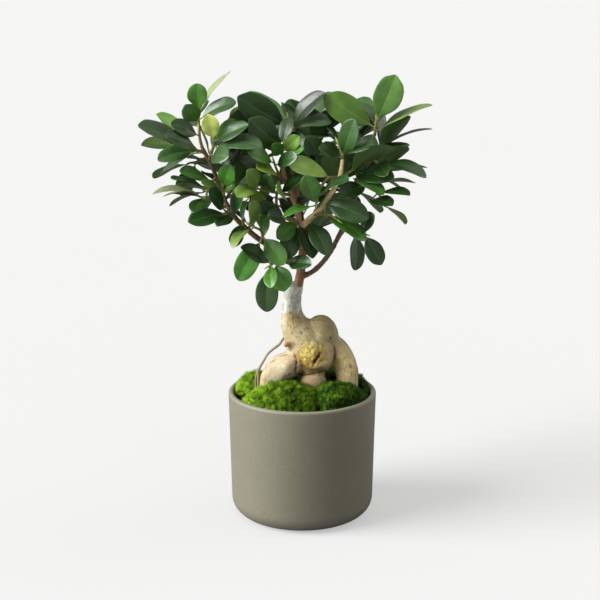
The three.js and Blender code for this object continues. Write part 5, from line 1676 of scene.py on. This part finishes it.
def stalk_skin(leaf):
    """The leaf's stalk, from inside the twig to the start of its blade."""
    foot, neck, tip = (np.array(leaf[name]) for name in ("foot", "neck", "tip"))
    far = neck + (tip - neck) * 0.06
    sag = np.array([0, 0, -0.06 * np.linalg.norm(neck - foot)])
    share = np.linspace(0, 1, 6)[:, None]
    control = (foot + neck) / 2 + sag
    centres = foot * (1 - share) ** 2 + 2 * share * (1 - share) * control + neck * share ** 2
    centres = np.vstack([centres, far])
    radii = np.array([1.2, 1.05, 1, 0.95, 0.92, 0.85, 0.4]) * STALK_RADIUS
    points, faces = tube(np.column_stack([centres, radii]), STALK_SIDES, end_round=0.4)
    flat = np.zeros(len(points))
    marks = {"across": flat + 0.5, "along": flat, "under": flat, "edge": flat, "stalk": flat + 1}
    return points, faces, marks


print("one stalk:", len(stalk_skin(example)[0]), "points")

# %% [markdown]
# ## Twigs
# A twig is a tube with a few small rings along it. It ends in the pointed bud that every fig shoot
# carries. A cone could stand for it, but the last rings of the same tube leave no seam.

# %% Twig and bud
BUD_LENGTH = 6.5 * MM
BUD_RINGS = 8
BUD_AGE = 1.5
TWIG_SIDES = 9


def twig_skin(route, chance):
    """Points, faces and marks of one twig with its bud."""
    line = smooth_route(route, 9)
    length = np.linspace(0, 1, len(line))
    line[:, 3] += 0.13 * MM * np.maximum(0, np.sin(length * 5 * np.pi)) ** 6
    ahead = line[-1, :3] - line[-3, :3]
    ahead /= np.linalg.norm(ahead)
    share = np.linspace(0.12, 1, BUD_RINGS)[:, None]
    bud = line[-1, :3] + ahead * share * BUD_LENGTH * chance.uniform(0.8, 1.2)
    bud_radius = line[-1, 3] * 0.98 * (1 - share[:, 0] ** 1.8) ** 0.8 + 0.06 * MM
    line = np.vstack([line, np.column_stack([bud, bud_radius])])
    points, faces = tube(line, TWIG_SIDES, end_round=0.6)
    age = np.concatenate([np.repeat(np.r_[length, np.full(BUD_RINGS, BUD_AGE)], TWIG_SIDES), [0, BUD_AGE]])
    flat = np.zeros(len(points))
    marks = {"across": flat + 0.5, "along": age, "under": flat, "edge": flat, "stalk": flat + 1}
    return points, faces, marks


test_points, _, _ = twig_skin(example_twig, np.random.default_rng(0))
print("one twig with its bud:", len(test_points), "points")

# %% [markdown]
# ## Leaf and twig finishes
# A fig's leaf has a pale midrib and faint slanting veins. A picture could hold them, but with a
# leaf map that runs across and along each blade a few sums place them, sharp from near too.

# %% Veins
foliage, tree, shader = new_material("leaf_skin", Specular_IOR_Level=0.46, Coat_Roughness=0.3)
leaf_map = add(tree, "ShaderNodeUVMap", uv_map="leaf_map").outputs["UV"]
split = add(tree, "ShaderNodeSeparateXYZ", {"Vector": leaf_map})
place = object_place(tree)
tone = attribute(tree, "leaf_tone", "Color")
under = attribute(tree, "leaf_under")
off_middle = math_node(tree, "ABSOLUTE", math_node(tree, "SUBTRACT", split.outputs["X"], 0.5))
midrib = ranged(tree, off_middle, 0.004, 0.02, 1.0, 0.0)
midrib = times(tree, midrib, ranged(tree, split.outputs["Y"], 0.55, 0.98, 1.0, 0.25))
vein_run = math_node(tree, "SUBTRACT", split.outputs["Y"], times(tree, off_middle, 0.75))
vein_wave = math_node(tree, "PINGPONG", times(tree, vein_run, 11.0), 0.5)
side_veins = ranged(tree, vein_wave, 0.0, 0.085, 1.0, 0.0)
print("finish:", foliage.name)

# %% [markdown]
# The blade's colour is its own tone with soft patches, painted shade that darkens it towards its
# sides, paler veins, a thin light edge and a pale matt underside. A thin coat gives the upper side
# its waxy shine and leaves the skin soft.

# %% Leaf finish
patches = use(tree, mottle, place=place, scale=110.0, contrast=1.7,
              dark=(0.7, 0.73, 0.7, 1), light=(1.3, 1.26, 1.22, 1))
blade = tinted(tree, tone, patches["Color"])
# painted shade: the blade darkens towards its sides
blade = tinted(tree, blade, (0.6, 0.66, 0.62, 1), ranged(tree, off_middle, 0.1, 0.5, 0.0, 0.35))
lighter = tinted(tree, blade, (2.4, 1.9, 1.6, 1))
lighter = mixed(tree, 0.35, lighter, linear(150, 168, 92))
blade = stained(tree, blade, side_veins, 0.16, lighter)
blade = stained(tree, blade, midrib, 0.6, lighter)
blade = stained(tree, blade, attribute(tree, "leaf_edge"), 0.12, lighter)
blade = mixed(tree, under, blade, mixed(tree, 0.5, blade, linear(98, 130, 70)))
blade = stained(tree, blade, attribute(tree, "leaf_stalk"), 0.75, linear(136, 156, 78))
feed(tree, shader, {"Base Color": blade})
feed(tree, shader, {"Roughness": ranged(tree, under, 0, 1, 0.38, 0.6)})
feed(tree, shader, {"Coat Weight": ranged(tree, under, 0, 1, 0.21, 0.0)})
leather = use(tree, grain, place=place, scale=700.0, sharpness=0.5)
veins_height = times(tree, math_node(tree, "MAXIMUM", side_veins, midrib), -0.35)
swells = use(tree, grain, place=place, scale=170.0, sharpness=0.4)
leaf_height = math_node(tree, "ADD", times(tree, leather["Height"], 0.5), veins_height)
leaf_height = math_node(tree, "ADD", leaf_height, times(tree, swells["Height"], 3.0))
feed(tree, shader, {"Normal": bump(tree, leaf_height, 0.35, 0.0003)})
print("the leaf finish has", len(tree.nodes), "nodes")

# %% [markdown]
# Twigs are green at the tip and brown at the foot. Two finishes would meet in a ring, so one
# fades between both by the age that is marked on the mesh.

# %% Twig finish
twig_finish, tree, shader = new_material("green_twig", Roughness=0.55, Specular_IOR_Level=0.35)
place = object_place(tree)
age = attribute(tree, "twig_age")
woody = use(tree, mottle, place=place, scale=700.0, contrast=2.0,
            dark=linear(96, 74, 52), light=linear(150, 122, 84))
green = use(tree, mottle, place=place, scale=500.0, contrast=1.6,
            dark=linear(104, 118, 58), light=linear(146, 156, 84))
twig_color = mixed(tree, ranged(tree, age, 0.15, 0.85), woody["Color"], green["Color"])
twig_color = mixed(tree, ranged(tree, age, 1.05, 1.45), twig_color, linear(158, 176, 84))
feed(tree, shader, {"Base Color": twig_color})
twig_grain = use(tree, grain, place=place, scale=1800.0, sharpness=0.6)
feed(tree, shader, {"Normal": bump(tree, twig_grain["Height"], 0.4, 0.0003)})
print("finish:", twig_finish.name)

# %% [markdown]
# ## All the shoots
# Now each shoot is put together: its twig, and for each leaf a stalk and a blade in its own
# tone. A little chance in tone and shape keeps any two leaves from looking alike, and a seed
# for each shoot keeps the result the same in each run.

# %% Building the shoots
LEAF_TONES = {
    "d": (28, 63, 18), "g": (66, 118, 40), "o": (108, 138, 62), "m": (150, 192, 96),
    "y": (128, 162, 54), "l": (98, 140, 56), "t": (45, 77, 35), "k": (16, 36, 12),
    "p": (122, 134, 98), "h": (80, 120, 48), "b": (220, 242, 130), "s": (47, 90, 29),
}
RULED_TONES = ["dsdtds", "sdtddd", "dtsddo"]


def build_shoot(name, seed, twig, leaves, tones):
    """One shoot as one piece, with its blades first and its twig last."""
    chance = np.random.default_rng(seed)
    corners = np.array([vertex.co for vertex in frame["nodes"][name].data.vertices])
    parts, leaf_tones = [], []
    for leaf, tone in zip(leaves, tones):
        placed = as_packed(leaf, corners)
        if placed is None:
            continue
        color = np.array(linear(*LEAF_TONES[tone]))
        color[:3] *= 1 + chance.uniform(-0.14, 0.14) + chance.uniform(-0.05, 0.05, 3)
        for part in (blade_skin(placed, chance), stalk_skin(placed)):
            parts.append(part)
            leaf_tones.append(np.tile(color, (len(part[0]), 1)))
    twig_points, twig_faces, twig_marks = twig_skin(twig, chance)
    parts.append((twig_points, twig_faces, twig_marks))
    leaf_tones.append(np.tile(linear(*LEAF_TONES["o"]), (len(twig_points), 1)))
    piece = new_piece(name + "_leaves", *joined([part[:2] for part in parts]))
    marks = {key: np.concatenate([part[2][key] for part in parts]) for key in twig_marks}
    paint(piece, "leaf_tone", np.vstack(leaf_tones))
    for key in ("under", "edge", "stalk"):
        paint(piece, "leaf_" + key, marks[key])
    twig_age = np.zeros(len(marks["along"]))
    twig_age[-len(twig_points):] = twig_marks["along"]
    paint(piece, "twig_age", twig_age)
    corner_points = np.empty(len(piece.data.loops), int)
    piece.data.loops.foreach_get("vertex_index", corner_points)
    places = np.stack([marks["across"], marks["along"]], axis=1)[corner_points]
    piece.data.uv_layers.new(name="leaf_map").uv.foreach_set("vector", places.ravel())
    finish = np.zeros(len(piece.data.polygons), int)
    finish[-len(twig_faces):] = 1
    piece.data.polygons.foreach_set("material_index", finish)
    dress(piece, name, "foliage", foliage, twig_finish)
    return (len(parts) - 1) // 2


placed_leaves = 0
for seed, (name, (twig, tones, *rows)) in enumerate(SHOOTS.items()):
    drawn = [leaf_as_seen(twig, row) for row in rows]
    placed_leaves += build_shoot("shoot_" + name, 100 + seed, twig, drawn, tones)
for seed, (name, (count, length, twig)) in enumerate(RULED_SHOOTS.items()):
    ruled = [leaf_by_rule(twig, index, count, length) for index in range(count)]
    placed_leaves += build_shoot("shoot_" + name, 200 + seed, twig, ruled, RULED_TONES[seed % 3])
print("leaves on the plant:", placed_leaves)

# %% [markdown]
# ## Moss
# Six cushions of moss cover the soil. Each is a low uneven dome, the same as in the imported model
# but finer, and it is covered with tufts of tiny pointed leaves. Hair curves would be quicker
# to make, but the export drops them, so each leaf is a closed spike of four faces.

# %% The cushions' shape
MOSS_CUSHIONS = {
    # x, y, reach along x, reach along y, height
    "moss_front_left": (-19, -32, 37, 28, 13),
    "moss_front_right": (35, -29, 27, 26, 13),
    "moss_left": (-45, 18, 17, 26, 12),
    "moss_right": (50, 16, 12, 22, 11),
    "moss_back_left": (-14, 44, 24, 18, 12),
    "moss_back_right": (24, 45, 19, 17, 12),
}
MOSS_LIFT = 0.5
WALL_EASE = 5
TUFT_DEPTH = 2.2


def ragged_edge(cushion, angle):
    """How far a cushion reaches at an angle, as a share of its plain oval."""
    return 1 + 0.06 * np.sin(4 * angle + cushion[0]) + 0.04 * np.cos(7 * angle + cushion[1])


def cushion_share(cushion, x, y):
    """How far out on a cushion a place lies: 0 in its middle and 1 at its ragged edge."""
    middle_x, middle_y, reach_x, reach_y, _ = cushion
    angle = np.arctan2((y - middle_y) / reach_y, (x - middle_x) / reach_x)
    out = np.hypot((x - middle_x) / reach_x, (y - middle_y) / reach_y)
    return out / ragged_edge(cushion, angle)


def cushion_top(cushion, x, y):
    """The height of a cushion above the pot's base, in millimetres."""
    share = np.clip(cushion_share(cushion, x, y), 0, 1)
    bumps = 0.9 * np.sin(0.62 * x + 0.3 * y) + 0.8 * np.cos(0.55 * y - 0.21 * x)
    crown = (cushion[4] + bumps) * (1 - share ** 2.6) + 1.6
    from_axis = np.hypot(x, y)
    crown = crown * (0.6 + 0.4 * soft_step(INNER_RADIUS - from_axis, 0, WALL_EASE))
    return soil_top(from_axis) + MOSS_LIFT + crown


def cushion_slopes(cushion, x, y):
    """How steeply a cushion's top climbs along x and along y."""
    step = 0.4
    along_x = (cushion_top(cushion, x + step, y) - cushion_top(cushion, x - step, y)) / (2 * step)
    along_y = (cushion_top(cushion, x, y + step) - cushion_top(cushion, x, y - step)) / (2 * step)
    return along_x, along_y


print("cushions:", len(MOSS_CUSHIONS))

# %% [markdown]
# Moss gives way to the roots and the pot's wall. A place is free where it lies outside every
# root and inside the wall, and where no other cushion stands higher. A steep side has more skin
# than its shadow on the ground, so it gets more tufts.

# %% Where moss may grow
TUFT_SPACING = 1.65
STEEPEST = 2.4
FROM_ROOTS = 0.4 * MM
FROM_WALL = 1.0
root_lines = np.vstack([smooth_route(route, 10) for route in THICK_ROOTS + THIN_ROOTS[1:]])


def free_places(name, chance):
    """Jittered places about a tuft apart on the open skin of a cushion, in millimetres."""
    cushion = MOSS_CUSHIONS[name]
    x0, y0, reach_x, reach_y, _ = cushion
    spacing = TUFT_SPACING / STEEPEST ** 0.5
    steps_x = np.arange(-1.1 * reach_x, 1.1 * reach_x, spacing)
    steps_y = np.arange(-1.1 * reach_y, 1.1 * reach_y, spacing)
    x, y = (grid.ravel() for grid in np.meshgrid(x0 + steps_x, y0 + steps_y))
    x = x + chance.uniform(-0.5, 0.5, len(x)) * spacing
    y = y + chance.uniform(-0.5, 0.5, len(y)) * spacing
    height = cushion_top(cushion, x, y)
    free = (cushion_share(cushion, x, y) < 0.985) & (np.hypot(x, y) < INNER_RADIUS - FROM_WALL)
    for other_name, other in MOSS_CUSHIONS.items():
        if other_name != name:
            covered = (cushion_share(other, x, y) < 1) & (cushion_top(other, x, y) > height)
            free &= ~covered
    slope_x, slope_y = cushion_slopes(cushion, x, y)
    free &= chance.uniform(0, STEEPEST, len(x)) < np.sqrt(1 + slope_x ** 2 + slope_y ** 2)
    places = np.stack([x, y, height], axis=1) * MM
    free &= nearest_on(places, root_lines[:, :3], root_lines[:, 3])[1] >= FROM_ROOTS
    return x[free], y[free]


print("root rings that moss keeps clear of:", len(root_lines))

# %% [markdown]
# Under its leaves each cushion is a plain closed dome, which stops a look between them.

# %% The body of a cushion
def cushion_skin(cushion, rings=14, sides=72):
    """The closed body of a cushion under its leaves."""
    x0, y0, reach_x, reach_y, _ = cushion
    angles = np.arange(sides) * 2 * np.pi / sides
    ragged = ragged_edge(cushion, angles)
    points, faces = [(x0, y0, float(cushion_top(cushion, np.array(x0), np.array(y0))) - TUFT_DEPTH)], []
    shares = (np.arange(1, rings + 1) / rings) ** 0.8
    for level, share in enumerate([*shares, 1.0]):
        x = x0 + reach_x * ragged * share * np.cos(angles)
        y = y0 + reach_y * ragged * share * np.sin(angles)
        from_axis = np.hypot(x, y)
        kept = np.minimum(1, (INNER_RADIUS - 0.5) / from_axis)
        x, y = x * kept, y * kept
        z = cushion_top(cushion, x, y) - TUFT_DEPTH if level < rings else soil_top(np.hypot(x, y)) + 0.1
        points.extend(zip(x, y, z))
    for side in range(sides):
        beside = (side + 1) % sides
        faces.append((0, 1 + side, 1 + beside))
        for level in range(rings):
            a, b = 1 + level * sides + side, 1 + level * sides + beside
            faces.append((a, a + sides, b + sides, b))
    faces.append(tuple(1 + rings * sides + side for side in reversed(range(sides))))
    return np.array(points) * MM, faces


test_points, test_faces = cushion_skin(MOSS_CUSHIONS["moss_front_left"])
print("one cushion's body:", len(test_points), "points,", len(test_faces), "faces")

# %% [markdown]
# A tuft is like a small paintbrush: its leaves start close together and lean out, the outer
# ones most. Each tuft leans its own way, and a patch of tufts leans one way a little, which
# gives the streaks of living moss.

# %% Tufts of spikes
SPIKES_A_TUFT = 22
SPIKE_LENGTHS = (2.6, 5.0)
SPIKE_HALF_WIDTHS = (0.16, 0.24)
SPIKE_ROOT = 0.7
TUFT_TILT = 0.6
TUFT_FAN = 0.42
FOOT_MARK = 0.2


def spikes(cushion, x, y, chance):
    """Points, faces and marks of all the leaves of the tufts at x, y."""
    count = len(x)
    slope_x, slope_y = cushion_slopes(cushion, x, y)
    ground = np.stack([x, y, cushion_top(cushion, x, y)], axis=1)
    ground[:, 2] += 0.6 * noise(ground, 4.2, 63) - TUFT_DEPTH
    drift = 3.2 * noise(ground, 9.0, 61)
    own = chance.uniform(-TUFT_TILT, TUFT_TILT, (2, count))
    normal = unit(np.stack([-0.7 * slope_x + 0.3 * np.cos(drift) + own[0],
                            -0.7 * slope_y + 0.3 * np.sin(drift) + own[1], np.ones(count)], axis=1))
    middle = ground + np.array([0, 0, 1]) * chance.uniform(-0.8, 0.4, count)[:, None]
    tuft = np.repeat(np.arange(count), SPIKES_A_TUFT)
    number = np.tile(np.arange(SPIKES_A_TUFT), count)
    turn = number * GOLDEN_ANGLE + chance.uniform(0, 2 * np.pi, count)[tuft]
    lean = TUFT_FAN * np.sqrt((number + 0.5) / SPIKES_A_TUFT) + chance.uniform(-0.1, 0.1, len(number))
    side = unit(np.cross(normal, (0.0, 1.0, 0.001)))
    other = np.cross(normal, side)
    out = side[tuft] * np.cos(turn)[:, None] + other[tuft] * np.sin(turn)[:, None]
    aim = normal[tuft] * np.cos(lean)[:, None] + out * np.sin(lean)[:, None]
    length = chance.uniform(*SPIKE_LENGTHS, len(number)) * chance.uniform(0.7, 1.15, count)[tuft]
    base = middle[tuft] + out * (0.2 + 0.8 * np.sin(lean))[:, None] - aim * SPIKE_ROOT
    tip = base + aim * (length + SPIKE_ROOT)[:, None]
    tip[:, 2] += 0.16 * length * np.sin(lean)
    flat = np.cross(aim, out)
    flat /= np.linalg.norm(flat, axis=1)[:, None] + 1e-9
    thick = np.cross(aim, flat)
    half_width = chance.uniform(*SPIKE_HALF_WIDTHS, len(number))[:, None]
    corners = [base + flat * half_width, base - flat * half_width, base + thick * half_width * 0.8, tip]
    points = np.stack(corners, axis=1).reshape(-1, 3)
    first = np.arange(len(number))[:, None] * 4
    faces = np.concatenate([first + face for face in ((1, 0, 3), (2, 1, 3), (0, 2, 3), (0, 1, 2))])
    tip_mark = np.tile([FOOT_MARK] * 3 + [1.0], len(number))
    # painted shade and light: the moss darkens towards the right, where the roots shade it, and brightens
    # on the cushions behind, over random younger patches
    patch = 0.38 - 0.009 * x + 0.2 * (y > 20) + 0.4 * noise(ground, 7.0, 62)
    patch = patch + chance.uniform(-0.45, 0.45, count)
    youth_and_light = patch[tuft] + chance.uniform(-0.15, 0.15, len(number))
    youth_and_light = np.repeat(np.clip(youth_and_light, 0, 1), 4)
    return points * MM, [tuple(face) for face in faces.tolist()], tip_mark, youth_and_light


print("leaves in a tuft:", SPIKES_A_TUFT)

# %% [markdown]
# Moss is a bright yellow-green at the tips, and its foot is painted nearly black, a painted shade
# where little light gets in. Some patches are younger; besides, painted shade darkens the moss
# towards the right and painted light brightens the cushions behind. Both are marks on the mesh,
# because a texture in space couldn't tell a tip from a foot.

# %% Moss finish
moss_finish, tree, shader = new_material("moss_leaves", Roughness=0.7, Specular_IOR_Level=0.12)
tip_mark = ranged(tree, attribute(tree, "moss_tip"), 0.25, 1.0)
youth_and_light = attribute(tree, "moss_youth_and_light")
# painted shade: the foot is nearly black, and the second mark mixes darker, shaded moss with younger, lit
# moss
old_and_shaded = mixed(tree, tip_mark, linear(10, 24, 2), linear(44, 82, 8))
young_and_lit = mixed(tree, tip_mark, linear(24, 50, 4), linear(138, 182, 34))
moss_color = mixed(tree, youth_and_light, old_and_shaded, young_and_lit)
drift = use(tree, mottle, place=object_place(tree), scale=95.0, contrast=1.8,
            dark=(0.62, 0.68, 0.7, 1), light=(1.3, 1.22, 1.1, 1))
moss_color = tinted(tree, moss_color, drift["Color"])
feed(tree, shader, {"Base Color": moss_color})
moss_grain = use(tree, grain, place=object_place(tree), scale=1600.0, sharpness=0.7)
feed(tree, shader, {"Normal": bump(tree, moss_grain["Height"], 0.4, 0.0004)})
print("finish:", moss_finish.name)

# %% [markdown]
# Each cushion is one piece: its body and all its leaves, held back where they would lean into
# the pot's wall.

# %% All the cushions
# the body under the tufts takes the foot's painted shade
BODY_MARKS = {"moss_tip": 0.25, "moss_youth_and_light": 0.4}
for seed, (name, cushion) in enumerate(MOSS_CUSHIONS.items()):
    chance = np.random.default_rng(300 + seed)
    x, y = free_places(name, chance)
    body_points, body_faces = cushion_skin(cushion)
    leaf_points, leaf_faces, leaf_tips, leaf_youth_and_light = spikes(cushion, x, y, chance)
    from_axis = np.hypot(leaf_points[:, 0], leaf_points[:, 1])
    kept = np.minimum(1, (INNER_RADIUS - GAP) * MM / from_axis)
    leaf_points[:, :2] *= kept[:, None]
    piece = new_piece(name + "_cushion", *joined([(body_points, body_faces), (leaf_points, leaf_faces)]))
    for mark, values in (("moss_tip", leaf_tips), ("moss_youth_and_light", leaf_youth_and_light)):
        paint(piece, mark, np.concatenate([np.full(len(body_points), BODY_MARKS[mark]), values]))
    dress(piece, name, "moss", moss_finish)
